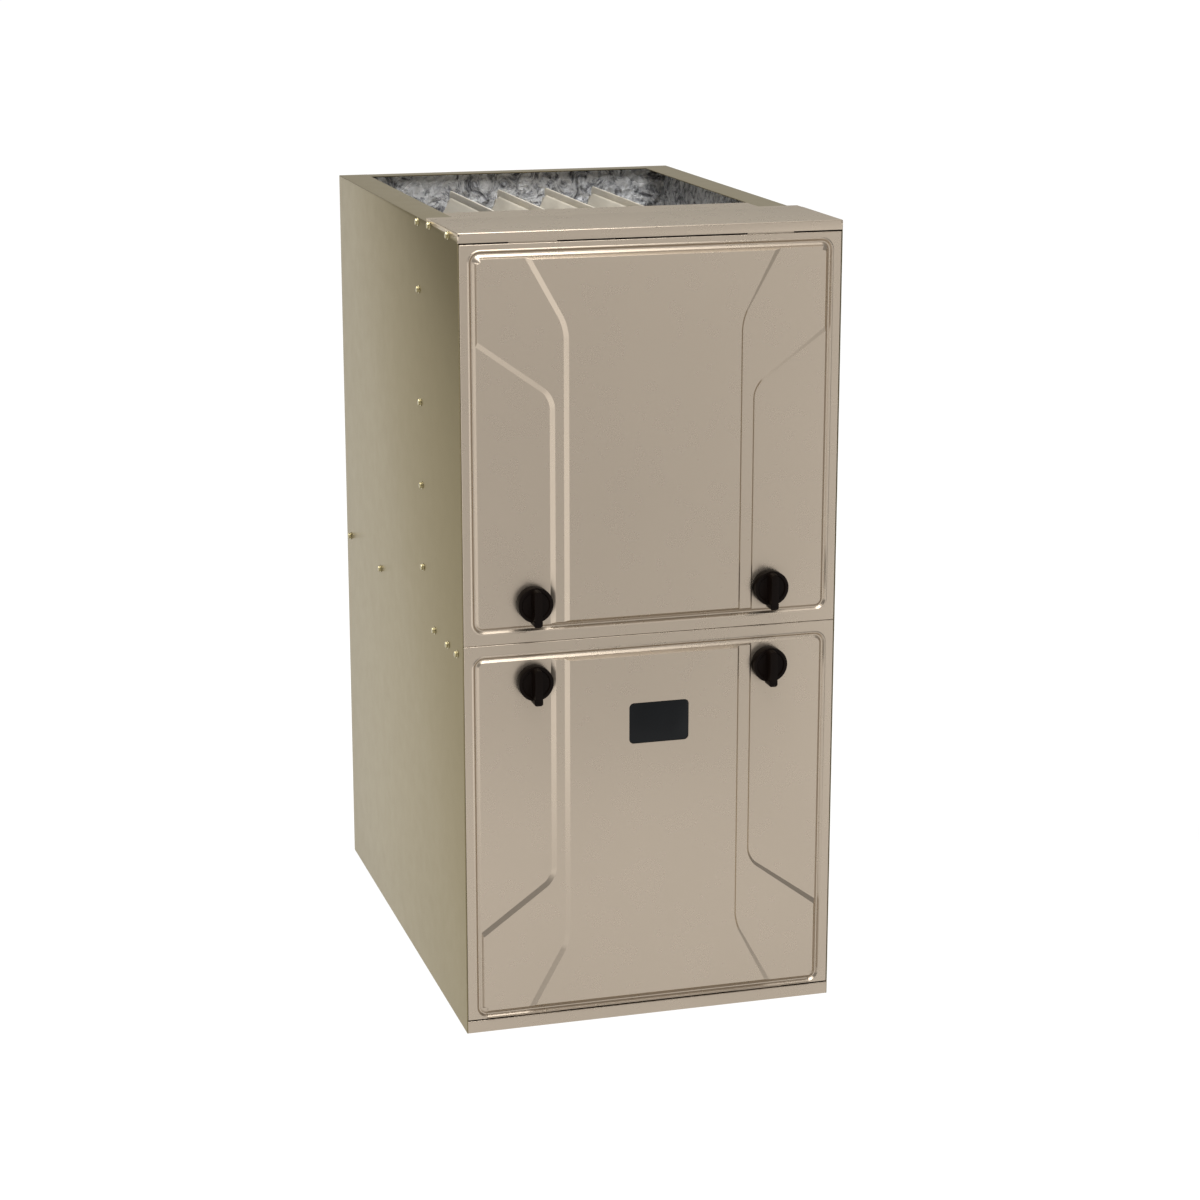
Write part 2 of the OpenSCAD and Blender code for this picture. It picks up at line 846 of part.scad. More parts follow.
module burner_box() {
    color(galvanized)
        difference() {
            span([-box_half, box_y0, box_z0], [box_half, vest_y, box_z1]);
            span([-box_half + sheet, box_y0 + sheet, box_z0 + sheet],
                 [box_half - sheet, vest_y + 1, box_z1 - sheet]);
            for (i = [0 : cell_count - 1])
                rod_y(spud_d + 3, cell_x(i), burner_z, box_y0 - 1, box_y0 + sheet + 1);
            rod_x(pipe_d - 2 * pipe_wall, intake_y, burner_z, box_half - sheet - 1, box_half + 1);
        }
}

spud_d = 14;
spud_nose_d = 6;
burner_y0 = box_y0 + 20;
burner_y1 = vest_y - 8;

// One burner: a venturi tube with a flared mouth and a wider head
module burner(x) {
    r = burner_d / 2;
    l = burner_y1 - burner_y0;
    throat = r * 0.72;
    flare = 3;
    wall = 2;
    translate([x, burner_y0, burner_z])
        rotate([-90, 0, 0])
            rotate_extrude()
                polygon([[r + flare, 0], [r, l * 0.11], [throat, l * 0.3], [r, l * 0.6],
                         [r + flare, l * 0.68], [r + flare, l], [r + flare - wall, l],
                         [r + flare - wall, l * 0.69], [r - wall, l * 0.61],
                         [throat - wall, l * 0.3], [r - wall, l * 0.11], [r + flare - wall, 0]]);
}

// Burners side by side on one carrier strip that stands on the box's floor
module burners() {
    strip_z0 = box_z0 + sheet;
    strip_side = burner_d / 2 + 4;
    strip_y = burner_y1 - 14;
    strip_t = 1.5;
    color(aluminized) {
        for (i = [0 : cell_count - 1])
            burner(cell_x(i));
        difference() {
            span([cell_x(0) - strip_side, strip_y, strip_z0],
                 [cell_x(cell_count - 1) + strip_side, strip_y + strip_t, burner_z + burner_d]);
            for (i = [0 : cell_count - 1])
                rod_y(burner_d + 4, cell_x(i), burner_z, strip_y - 1, strip_y + strip_t + 1);
        }
    }
}

manifold_x0 = cell_x(0) - 26;

// Manifold pipe with an orifice spud for each burner
module gas_manifold() {
    arm_half = 8;
    color([0.22, 0.22, 0.23]) {
        rod_x(manifold_d, gas_y, burner_z, manifold_x0, valve_x - valve_size[0] / 2);
        rod_x(manifold_d + 6, gas_y, burner_z, manifold_x0 - 6, manifold_x0 + 10);
    }
    // two arms whose feet stand against the burner box
    color([0.22, 0.22, 0.23])
        for (side = [-1, 1]) {
            x = side * (cell_x(cell_count - 1) - cell_pitch / 2);
            span([x - arm_half, gas_y, burner_z - 3], [x + arm_half, box_y0, burner_z + 3]);
            span([x - arm_half, box_y0 - 2, burner_z - 24], [x + arm_half, box_y0, burner_z + 24]);
        }
    color(brass)
        for (i = [0 : cell_count - 1]) {
            rod_y(spud_d, cell_x(i), burner_z, gas_y, box_y0 + 6);
            rod_y(spud_nose_d, cell_x(i), burner_z, box_y0 + 5, box_y0 + 12);
        }
}

module gas_valve() {
    size = valve_size;
    x0 = valve_x - size[0] / 2;
    x1 = valve_x + size[0] / 2;
    port_l = 18;
    color([0.55, 0.56, 0.57])
        difference() {
            union() {
                span([x0, gas_y - size[1] / 2, burner_z - size[2] / 2],
                     [x1, gas_y + size[1] / 2 - 6, burner_z + size[2] / 2]);
                rod_z(34, valve_x, gas_y, burner_z + size[2] / 2, burner_z + size[2] / 2 + 8);
                rod_x(gas_port_d + 12, gas_y, burner_z, x1 - 1, x1 + 8);
                span([x0 + 8, gas_y - size[1] / 2 - 4, burner_z - 30],
                     [x1 - 8, gas_y - size[1] / 2 + 1, burner_z + 30]);
            }
            rod_x(gas_port_d, gas_y, burner_z, x1 + 8 - port_l, x1 + 9);
            // round pocket of the rocker switch
            rod_x(rocker_d + 0.8, rocker_y, rocker_z, valve_x - rocker_w / 2 - 0.5,
                  valve_x + rocker_w / 2 + 0.5);
        }
}

rocker_d = 14;
rocker_w = 11;
rocker_tilt = 14;
rocker_y = gas_y - valve_size[1] / 2 + 1;
rocker_z = burner_z + 17;

// Rocker that turns the gas on and off, in its round pocket
module gas_valve_switch() {
    color([0.65, 0.12, 0.10])
        difference() {
            rod_x(rocker_d, rocker_y, rocker_z, valve_x - rocker_w / 2, valve_x + rocker_w / 2);
            translate([0, rocker_y, rocker_z])
                rotate([-rocker_tilt, 0, 0])
                    span([valve_x - rocker_w, -rocker_d, -rocker_d],
                         [valve_x + rocker_w, -rocker_d * 0.4, rocker_d]);
        }
}

module gas_grommet() {
    lip_l = 2.5;
    outer = grommet_hole_d + 2 * grommet_lip;
    color(black)
        difference() {
            union() {
                rod_x(grommet_hole_d - 2 * soft_gap, gas_y, burner_z, in_w - lip_l, half_w);
                rod_x(outer, gas_y, burner_z, in_w - lip_l, in_w);
            }
            rod_x(gas_port_d + 13, gas_y, burner_z, in_w - lip_l - 1, half_w + 1);
        }
}

probe_step = 26;

// Hot surface igniter beside the left burner's flame
module igniter() {
    body_d = 14;
    body_h = 33;
    blade = [4, 3, 24];
    translate([cell_x(0) - probe_step, vest_y - probe_step, box_z0 + sheet]) {
        cylinder(h = body_h, d = body_d);
        translate([-blade[0] / 2, -blade[1] / 2, body_h - 1])
            cube(blade);
    }
}

// Sensing rod beside the right burner's flame
module flame_sensor() {
    body_h = 29;
    rod_d = 3.2;
    translate([cell_x(cell_count - 1) + probe_step, vest_y - probe_step, box_z0 + sheet]) {
        cylinder(h = body_h, d = 12);
        cylinder(h = body_h + 25, d = rod_d);
    }
}

module flame_probes() {
    color([0.85, 0.83, 0.78]) {
        igniter();
        flame_sensor();
    }
}

reset_x = 90;
reset_y = vest_y - 70;
reset_d = 6;
reset_stroke = 2;
reset_l = 6;
switch_h = 14;
switch_top_z = box_z1 + switch_h;

module rollout_switches() {
    body_d = 26;
    ear = [40, 14, 2];
    color(black)
        for (side = [-1, 1])
            translate([side * reset_x, reset_y, box_z1])
                difference() {
                    union() {
                        cylinder(h = switch_h, d = body_d);
                        translate([-ear[0] / 2, -ear[1] / 2, 0])
                            cube(ear);
                    }
                    translate([0, 0, switch_h - reset_l - 4])
                        cylinder(h = reset_l + 5, d = reset_d + 2 * run_gap);
                }
}

// Red button that stands a stroke above its seat
module rollout_reset(side) {
    color([0.7, 0.1, 0.1])
        rod_z(reset_d, side * reset_x, reset_y, switch_top_z - reset_l, switch_top_z + reset_stroke);
}

module rollout_reset_left() {
    rollout_reset(-1);
}

module rollout_reset_right() {
    rollout_reset(1);
}

limit_neck_d = 16;

// Limit switch on the vest panel, with its sensing disc in the air stream
module limit_switch() {
    ear = [48, 3, 30];
    body_l = 16;
    probe_l = 24;
    color(black) {
        span([limit_x - ear[0] / 2, vest_y - ear[1], limit_z - ear[2] / 2],
             [limit_x + ear[0] / 2, vest_y, limit_z + ear[2] / 2]);
        rod_y(ear[2], limit_x, limit_z, vest_y - body_l, vest_y - 2);
        rod_y(limit_neck_d, limit_x, limit_z, vest_y - 1, vest_back_y + probe_l);
    }
}

pressure_x = -172;
pressure_z = (inducer_z + burner_z) / 2 - 11;
pressure_d = 72;
tube_od = 9;
tube_id = 5;
nipple_l = 12;

pressure_reach = 44;

// Round diaphragm switch on a folded bracket, with its nipple to the front
module pressure_switch() {
    rim_t = 12;
    hub_d = pressure_d - 20;
    hub_l = 30;
    bracket_half = 14;
    face_y = vest_y - pressure_reach;
    color([0.25, 0.26, 0.28]) {
        rod_y(pressure_d, pressure_x, pressure_z, face_y + 10, face_y + 10 + rim_t);
        rod_y(hub_d, pressure_x, pressure_z, face_y, face_y + hub_l);
        rod_y(tube_id, pressure_x, pressure_z, face_y - nipple_l, face_y + 1);
        span([pressure_x - bracket_half, face_y + hub_l - 1, pressure_z - pressure_d / 2 - 8],
             [pressure_x + bracket_half, vest_y, pressure_z + 8]);
    }
}

// Rubber tube from the switch's nipple down to the inducer housing's
module pressure_tube() {
    end_x = -inducer_d / 2 - 1;
    face_y = vest_y - pressure_reach - 1;
    color(black)
        difference() {
            union() {
                rod_y(tube_od, pressure_x, pressure_z, vent_y, face_y);
                translate([pressure_x, vent_y, pressure_z])
                    sphere(d = tube_od);
                rod_z(tube_od, pressure_x, vent_y, inducer_z, pressure_z);
                translate([pressure_x, vent_y, inducer_z])
                    sphere(d = tube_od);
                rod_x(tube_od, vent_y, inducer_z, pressure_x, end_x);
            }
            rod_y(tube_id + 2 * run_gap, pressure_x, pressure_z, face_y - nipple_l, face_y + 1);
            rod_x(tube_id + 2 * run_gap, vent_y, inducer_z, end_x - nipple_l, end_x + 1);
        }
}

// ---- circulation blower ----

blower_y = front_y + wheel_y;
wheel_w = scroll_w - 2 * wheel_gap;
scroll_r0 = wheel_d / 2 + cutoff_gap;
scroll_steps = 44;
scroll_sweep = 250;
function scroll_point(i, inset) =
    let (turn = cutoff_angle + i * scroll_sweep / scroll_steps)
    let (r = scroll_r0 + scroll_growth * i / scroll_steps - inset)
    [blower_y - r * sin(turn), wheel_z + r * cos(turn)];

throat_y0 = scroll_point(0, 0)[0];
throat_y1 = scroll_point(scroll_steps, 0)[0];

// Scroll outline in Y and Z: a spiral that opens into the upright throat
module scroll_outline(inset, top) {
    polygon(concat(
        [[throat_y0 + inset, scroll_point(0, inset)[1]]],
        [for (i = [1 : scroll_steps]) scroll_point(i, inset)],
        [[throat_y1 - inset, top], [throat_y0 + inset, top]]
    ));
}

outlet_flange = 12;

module blower_wrap() {
    half = scroll_w / 2;
    color(galvanized) {
        slab_x(-half, half)
            difference() {
                scroll_outline(0, deck_h);
                scroll_outline(sheet, deck_h + 1);
            }
        span([-half, throat_y0 - outlet_flange, deck_h - sheet],
             [half, throat_y0 + sheet / 2, deck_h]);
        span([-half, throat_y1 - sheet / 2, deck_h - sheet],
             [half, throat_y1 + outlet_flange, deck_h]);
    }
}

// Flat side of the scroll with a rolled inlet
module blower_side(side) {
    roll_r = 7;
    x0 = scroll_w / 2;
    color(galvanized)
        mirror([side < 0 ? 1 : 0, 0, 0]) {
            difference() {
                slab_x(x0, x0 + sheet)
                    scroll_outline(0, deck_h);
                rod_x(inlet_d, blower_y, wheel_z, x0 - 1, x0 + sheet + 1);
            }
            translate([x0 + sheet - roll_r, blower_y, wheel_z])
                rotate([0, 90, 0])
                    rotate_extrude($fn = 96)
                        translate([inlet_d / 2, 0])
                            difference() {
                                circle(r = roll_r, $fn = 32);
                                circle(r = roll_r - sheet, $fn = 32);
                                translate([0, -roll_r - 1])
                                    square([roll_r + 1, 2 * roll_r + 2]);
                            }
            span([x0, throat_y0, deck_h - sheet], [x0 + outlet_flange, throat_y1, deck_h]);
        }
}

module blower_side_left() {
    blower_side(-1);
}

module blower_side_right() {
    blower_side(1);
}

// Outline of one forward-curved blade: an arc of even thickness
function blade_arc(r, offset_r, steps, from, to) =
    [for (i = [0 : steps])
        let (a = from + (to - from) * i / steps)
        [offset_r + r * cos(a), r * sin(a)]];

module blade_outline() {
    r = blade_depth * 0.54;
    t = 1.1;
    steps = 5;
    middle = wheel_d / 2 - blade_depth / 2 - 1;
    polygon(concat(
        blade_arc(r, middle, steps, 10, 170),
        blade_arc(r - t, middle, steps, 170, 10)
    ));
}

wheel_disc_x = 14;

// Double inlet wheel: blades between rings, on one middle disc
module blower_wheel() {
    ring_t = 3;
    half = wheel_w / 2;
    r_out = wheel_d / 2;
    r_in = r_out - blade_depth - 1;
    hub_l = 34;
    color(galvanized)
        translate([0, blower_y, wheel_z])
            rotate([0, 90, 0]) {
                for (i = [0 : blade_count - 1])
                    rotate(i * 360 / blade_count)
                        translate([0, 0, -half])
                            linear_extrude(wheel_w)
                                blade_outline();
                for (end = [-1, 1])
                    translate([0, 0, end * (half - ring_t / 2) - ring_t / 2])
                        difference() {
                            cylinder(h = ring_t, r = r_out);
                            translate([0, 0, -1])
                                cylinder(h = ring_t + 2, r = r_in);
                        }
                translate([0, 0, wheel_disc_x])
                    cylinder(h = 2.4, r = r_out - 2);
                translate([0, 0, wheel_disc_x - 8])
                    cylinder(h = hub_l, d = 36);
                translate([0, 0, -motor_near - shaft_in_motor])
                    cylinder(h = motor_near + shaft_in_motor + wheel_disc_x, d = shaft_d);
            }
}

motor_far = scroll_w / 2 + 30;
motor_near = motor_far - motor_l;
shaft_in_motor = 60;

// Motor in the left inlet, with vent slots in its outer end
module blower_motor() {
    slot_count = 12;
    color([0.30, 0.31, 0.33])
        difference() {
            union() {
                rod_x(motor_d, blower_y, wheel_z, -motor_far + 8, -motor_near - 8);
                rod_x(motor_d - 24, blower_y, wheel_z, -motor_far, -motor_near);
            }
            rod_x(shaft_d + 2 * run_gap, blower_y, wheel_z,
                  -motor_near - shaft_in_motor - 2, -motor_near + 1);
            for (i = [0 : slot_count - 1])
                translate([-motor_far - 1, blower_y, wheel_z])
                    rotate([i * 360 / slot_count, 0, 0])
                        translate([0, -3, 24])
                            cube([6, 6, 26]);
        }
}

// Band round the motor, on flat arms that reach the housing's side
module blower_motor_mount() {
    arm_t = 3;
    arm_w = 18;
    band_w = 16;
    band_t = 2.5;
    side_x = -scroll_w / 2 - sheet;
    arm_end = inlet_d / 2 + 16;
    color(galvanized)
        difference() {
            union() {
                rod_x(motor_d + 2 * band_t, blower_y, wheel_z, side_x - band_w, side_x - 1);
                slab_x(side_x - arm_t, side_x)
                    translate([blower_y, wheel_z]) {
                        circle(d = motor_d + 6 * band_t);
                        for (i = [0 : 2])
                            rotate(i * 120)
                                translate([-arm_w / 2, 0])
                                    square([arm_w, arm_end]);
                    }
            }
            rod_x(motor_d + 2 * run_gap, blower_y, wheel_z, side_x - band_w - 1, side_x + 1);
        }
}

// Oval capacitor lying on a clip on the housing's right side
module blower_capacitor() {
    can_w = 38;
    can_h = 54;
    can_l = 80;
    x = scroll_w / 2 + sheet;
    y = blower_y + 70;
    z = wheel_z + inlet_d / 2 + 40;
    color([0.72, 0.73, 0.75]) {
        translate([x + can_w / 2 + 1, 0, z])
            slab_y(y - can_l / 2, y + can_l / 2)
                stadium(can_w, can_h);
        span([x, y - 12, z - can_h / 2], [x + 2, y + 12, z + can_h / 2 + 16]);
    }
}

// ---- controls ----

plunger_d = 6;
switch_rise = 24;
switch_z = seam_h - centre_rail_h / 2 + switch_rise;
bracket_face_y = front_y + bracket_y;

module control_bracket() {
    z0 = deck_h - bracket_h;
    color(galvanized)
        difference() {
            union() {
                span([-bracket_w / 2, bracket_face_y, z0],
                     [bracket_w / 2, bracket_face_y + sheet, deck_h]);
                span([-bracket_w / 2, bracket_face_y, deck_h - sheet],
                     [bracket_w / 2, bracket_face_y + 22, deck_h]);
                for (side = [-1, 1])
                    translate([side > 0 ? bracket_w / 2 - sheet : -bracket_w / 2, bracket_face_y, z0])
                        cube([sheet, 16, bracket_h]);
            }
            for (x = [-40, 40])
                rod_y(20, x, z0 + 24, bracket_face_y - 1, bracket_face_y + sheet + 1);
        }
}

board_x = window_x + 20;
board_z = window_z - 4;
board_w = 150;
board_h = 104;

// A part on the board, from its low corner on the board's left bottom corner
module board_part(x, z, w, h, t, face_y) {
    translate([board_x - board_w / 2 + x, face_y - t, board_z - board_h / 2 + z])
        cube([w, t, h]);
}

// Board on pillars with its relays, terminals, plug, fuse and lamp
module control_board() {
    pillar_l = 6;
    pillar_d = 6;
    board_t = 1.6;
    corner = 8;
    relay = [20, 26, 16];
    relay_step = 26;
    terminal = [8, 12, 8];
    terminal_step = 11;
    back = bracket_face_y - pillar_l;
    face = back - board_t;
    color([0.10, 0.30, 0.16]) {
        board_part(0, 0, board_w, board_h, board_t, back);
        for (x = [corner, board_w - corner], z = [corner, board_h - corner])
            rod_y(pillar_d, board_x - board_w / 2 + x, board_z - board_h / 2 + z, back,
                  bracket_face_y);
        for (i = [0 : 2])
            board_part(12 + i * relay_step, 66, relay[0], relay[1], relay[2], face);
        for (i = [0 : 6])
            board_part(16 + i * terminal_step, 4, terminal[0], terminal[1], terminal[2], face);
        board_part(104, 58, 34, 36, 12, face);
        board_part(104, 8, 32, 10, 10, face);
        board_part(34, 30, 26, 18, 3, face);
        rod_y(5, board_x, board_z - 12, face - 5, face);
        rod_y(14, board_x + 17, board_z - 12, face - 18, face);
    }
}

// Laminations on a mounting foot, with the coil in front
module transformer() {
    foot = [44, 2, 76];
    core = [40, 26, 52];
    coil = [32, 36, 28];
    x = -bracket_w / 2 + 10 + foot[0] / 2;
    z = deck_h - bracket_h + 48 + foot[2] / 2;
    color([0.45, 0.42, 0.36])
        for (size = [foot, core, coil])
            translate([x - size[0] / 2, bracket_face_y - size[1], z - size[2] / 2])
                cube(size);
}

plunger_l = 12;

module door_switch() {
    half = 14;
    wall = 4;
    color(black)
        difference() {
            span([-switch_x - half, rail_back_y, switch_z - half - wall],
                 [-switch_x + half, rail_back_y + plunger_l + plunger_travel + wall + 2,
                  switch_z + half + 2]);
            rod_y(plunger_d + 2 * run_gap, -switch_x, switch_z, rail_back_y - 1,
                  rail_back_y + plunger_l + plunger_travel + 2);
        }
}

// Rod held in by the closed door, which springs out as the door opens
module door_switch_plunger() {
    y0 = front_y + liner_back + soft_gap;
    color([0.9, 0.9, 0.88])
        rod_y(plunger_d, -switch_x, switch_z, y0, rail_back_y + plunger_l + plunger_travel);
}

// ---- doors ----

door_w = casing_w - 2 * sheet - 2 * door_gap;
upper_z0 = seam_h + seam_gap / 2;
upper_z1 = lip_z - end_gap;
lower_z0 = base_rail_h + end_gap;
lower_z1 = seam_h - seam_gap / 2;
panel_half = door_w / 2 - border_w - groove_w;
liner_front = groove_depth + sheet + soft_gap;
liner_back = liner_front + door_liner_t;
hook_y = 2 * sheet;

// Convex field pressed back into the panel, from height y0 down to y1
module pressed_field(points, y0, y1) {
    r = 5;
    hull()
        for (p = points)
            translate([p[0], y1, p[1]])
                rotate([90, 0, 0])
                    cylinder(h = y1 - y0, r1 = r, r2 = r + step_run, $fn = 24);
}

// Straight-walled hollow behind the panel's fields
module hollow(points, y0) {
    slab_y(y0, door_d + 1)
        polygon(points);
}

// Stamped door that stands on its seam edge, with its other end up
module stamped_door(h, seam_border, end_border) {
    low = seam_border + groove_w;
    high = h - end_border - groove_w;
    past = 20;
    r = 5;
    pull = step_run + r;
    middle = middle_half + pull;
    side = side_half + pull;
    out = panel_half + past;
    flare_z = high - flare_drop;
    difference() {
        union() {
            difference() {
                span([-door_w / 2, 0, 0], [door_w / 2, door_d, h]);
                slab_y(-1, groove_depth)
                    translate([0, (low + high) / 2])
                        round_rect(door_w - 2 * border_w, high - low + 2 * groove_w, groove_r);
            }
            // the stamped panel, up to the height of its middle field
            hull()
                for (x = [-1, 1], z = [low + groove_r, high - groove_r])
                    translate([x * (panel_half - groove_r), groove_depth, z])
                        rotate([90, 0, 0])
                            cylinder(h = groove_depth + 2 * step_h, r1 = groove_r + 2,
                                     r2 = groove_r - 4, $fn = 32);
        }
        for (s = [-1, 1]) {
            // band beside the middle field
            pressed_field([[s * (flare_half + pull), high + past], [s * middle, flare_z],
                           [s * middle, low - past], [s * out, low - past], [s * out, high + past]],
                          -2 * step_h, -step_h);
            // side column, the lowest field
            pressed_field([[s * side, high - side_drop], [s * side, low - past],
                           [s * out, low - past], [s * out, high - side_tip_drop + past * side_slope]],
                          -step_h, 0);
        }
        door_hollows(h, low, high, flare_z);
    }
}

side_slope = (side_drop - side_tip_drop) / (panel_half - side_half);

module door_hollows(h, low, high, flare_z) {
    wall = sheet + 2.4;
    mid = middle_half - wall;
    rim = panel_half - wall;
    side = side_half - wall;
    top = high - wall;
    foot = low + wall;
    side_z = high - side_drop + wall;
    tip_z = high - side_tip_drop + wall;
    // inside of the folded edges
    span([-door_w / 2 + sheet, groove_depth + sheet, sheet],
         [door_w / 2 - sheet, door_d + 1, h - sheet]);
    // behind the lowest fields
    span([-rim, sheet, foot], [rim, door_d + 1, top]);
    // behind the band
    hollow([[-rim, top], [rim, top], [rim, tip_z], [side, side_z], [side, foot],
            [-side, foot], [-side, side_z], [-rim, tip_z]], sheet - step_h);
    // behind the middle field
    hollow([[-flare_half + 2 * wall, top], [flare_half - 2 * wall, top], [mid, flare_z],
            [mid, foot], [-mid, foot], [-mid, flare_z]], sheet - 2 * step_h);
}

// Two hooks that turn in the lip or the rail at the door's end
module door_hooks(z0, z1) {
    for (side = [-1, 1])
        translate([side * hook_x - hook_w / 2, hook_y, z0])
            cube([hook_w, sheet, z1 - z0]);
}

module stud_holes(row) {
    knob_places([row])
        rod_y(stud_d + 2 * latch_gap, 0, 0, -20, door_d + 1);
}

module upper_door() {
    color(beige)
        translate([0, front_y, 0])
            difference() {
                union() {
                    translate([0, 0, upper_z0])
                        stamped_door(upper_z1 - upper_z0, upper_seam_border, upper_end_border);
                    door_hooks(upper_z1 - sheet, upper_z1 + hook_h);
                }
                stud_holes(1);
            }
}

module window_outline(grow) {
    translate([window_x, window_z])
        round_rect(window_w + 2 * grow, window_h + 2 * grow, window_r + grow);
}

module lower_door() {
    color(beige)
        translate([0, front_y, 0])
            difference() {
                union() {
                    translate([0, 0, lower_z1])
                        mirror([0, 0, 1])
                            stamped_door(lower_z1 - lower_z0, lower_seam_border,
                                         lower_end_border);
                    door_hooks(lower_z0 - hook_h, lower_z0 + sheet);
                }
                stud_holes(-1);
                slab_y(-20, door_d)
                    window_outline(-2);
            }
}

window_back = sheet - 2 * step_h + window_t;

// Dark pane behind the opening in the lower door
module sight_window() {
    color([0.05, 0.06, 0.07])
        translate([0, front_y, 0]) {
            slab_y(sheet - 2 * step_h, window_back)
                window_outline(6);
            slab_y(-2 * step_h + 0.4, sheet - 2 * step_h)
                window_outline(-2.3);
        }
}

module lower_door_liner() {
    edge = 14;
    color([0.35, 0.36, 0.37])
        translate([0, front_y, 0])
            difference() {
                span([-door_w / 2 + edge, liner_front, lower_z0 + edge],
                     [door_w / 2 - edge, liner_back, lower_z1 - edge]);
                knob_places([-1])
                    rod_y(30, 0, 0, liner_front - 1, liner_back + 1);
                slab_y(liner_front - 1, liner_back + 1)
                    window_outline(4);
            }
}

// ---- knobs and latches ----

knob_stud_depth = 9;

// Round base, a grip bar across it and a pointer below
module knob(side, row) {
    grip_w = 11;
    grip_l = knob_d - 3;
    base_r = knob_d / 2;
    back_y = front_y - latch_gap;
    color(black)
        translate([side * knob_x, 0, seam_h + row * knob_rise])
            difference() {
                union() {
                    translate([0, back_y, 0])
                        rotate([90, 0, 0])
                            rotate_extrude()
                                polygon([[0, 0], [base_r, 0], [base_r, knob_base_t - 4],
                                         [base_r - 3, knob_base_t - 0.5], [base_r - 6, knob_base_t],
                                         [0, knob_base_t]]);
                    slab_y(front_y - knob_reach, back_y - knob_base_t / 2)
                        stadium(grip_w, grip_l);
                    slab_y(back_y - knob_base_t + 3, front_y - step_h - latch_gap)
                        polygon([[-5, -base_r + 3], [5, -base_r + 3], [2, -base_r - 4],
                                 [-2, -base_r - 4]]);
                }
                rod_y(stud_d + 2 * run_gap, 0, 0, back_y - knob_stud_depth, back_y + 1);
            }
}

module knob_upper_left() {
    knob(-1, 1);
}

module knob_upper_right() {
    knob(1, 1);
}

module knob_lower_left() {
    knob(-1, -1);
}

module knob_lower_right() {
    knob(1, -1);
}

// Stud with a washer behind the door's skin and a blade behind the rail
module latch(side, row) {
    blade_y = rail_back_y + latch_gap;
    washer_y = front_y + sheet + latch_gap;
    washer_d = 18;
    washer_t = 1.6;
    color([0.75, 0.76, 0.78])
        translate([side * knob_x, 0, seam_h + row * knob_rise]) {
            rod_y(stud_d, 0, 0, front_y - latch_gap - knob_stud_depth, blade_y + blade_t);
            rod_y(washer_d, 0, 0, washer_y, washer_y + washer_t);
            span([-blade_w / 2, blade_y, -blade_l / 2],
                 [blade_w / 2, blade_y + blade_t, blade_l / 2]);
        }
}

module latch_upper_left() {
    latch(-1, 1);
}

module latch_upper_right() {
    latch(1, 1);
}

module latch_lower_left() {
    latch(-1, -1);
}

module latch_lower_right() {
    latch(1, -1);
}

left_side_panel();
right_side_panel();
back_panel();
top_front_plate();
base_rail();
centre_rail();
blower_deck();
vest_panel();
foil_liner_sides();
foil_liner_rear();
heat_cell_1();
heat_cell_2();
heat_cell_3();
heat_cell_4();
hot_collector_box();
condensing_coil();
cold_collector_box();
inducer_housing();
inducer_wheel();
inducer_motor();
vent_coupling();
burner_box();
burners();
gas_manifold();
gas_valve();
gas_valve_switch();
gas_grommet();
air_intake_coupling();
flame_probes();
rollout_switches();
rollout_reset_left();
rollout_reset_right();
limit_switch();
pressure_switch();
pressure_tube();
condensate_trap();
blower_wrap();
blower_side_left();
blower_side_right();
blower_wheel();
blower_motor();
blower_motor_mount();
blower_capacitor();
control_bracket();
control_board();
transformer();
door_switch();
door_switch_plunger();
upper_door();
lower_door();
lower_door_liner();
sight_window();
knob_upper_left();
knob_upper_right();
knob_lower_left();
knob_lower_right();
latch_upper_left();
latch_upper_right();
latch_lower_left();
latch_lower_right();
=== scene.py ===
# The furnace's finishes and the pieces that the frame leaves to this script.
# Metres, +Z up, the doors face -Y.
import json
import math
import bmesh
import bpy
from mathutils import Matrix, Vector

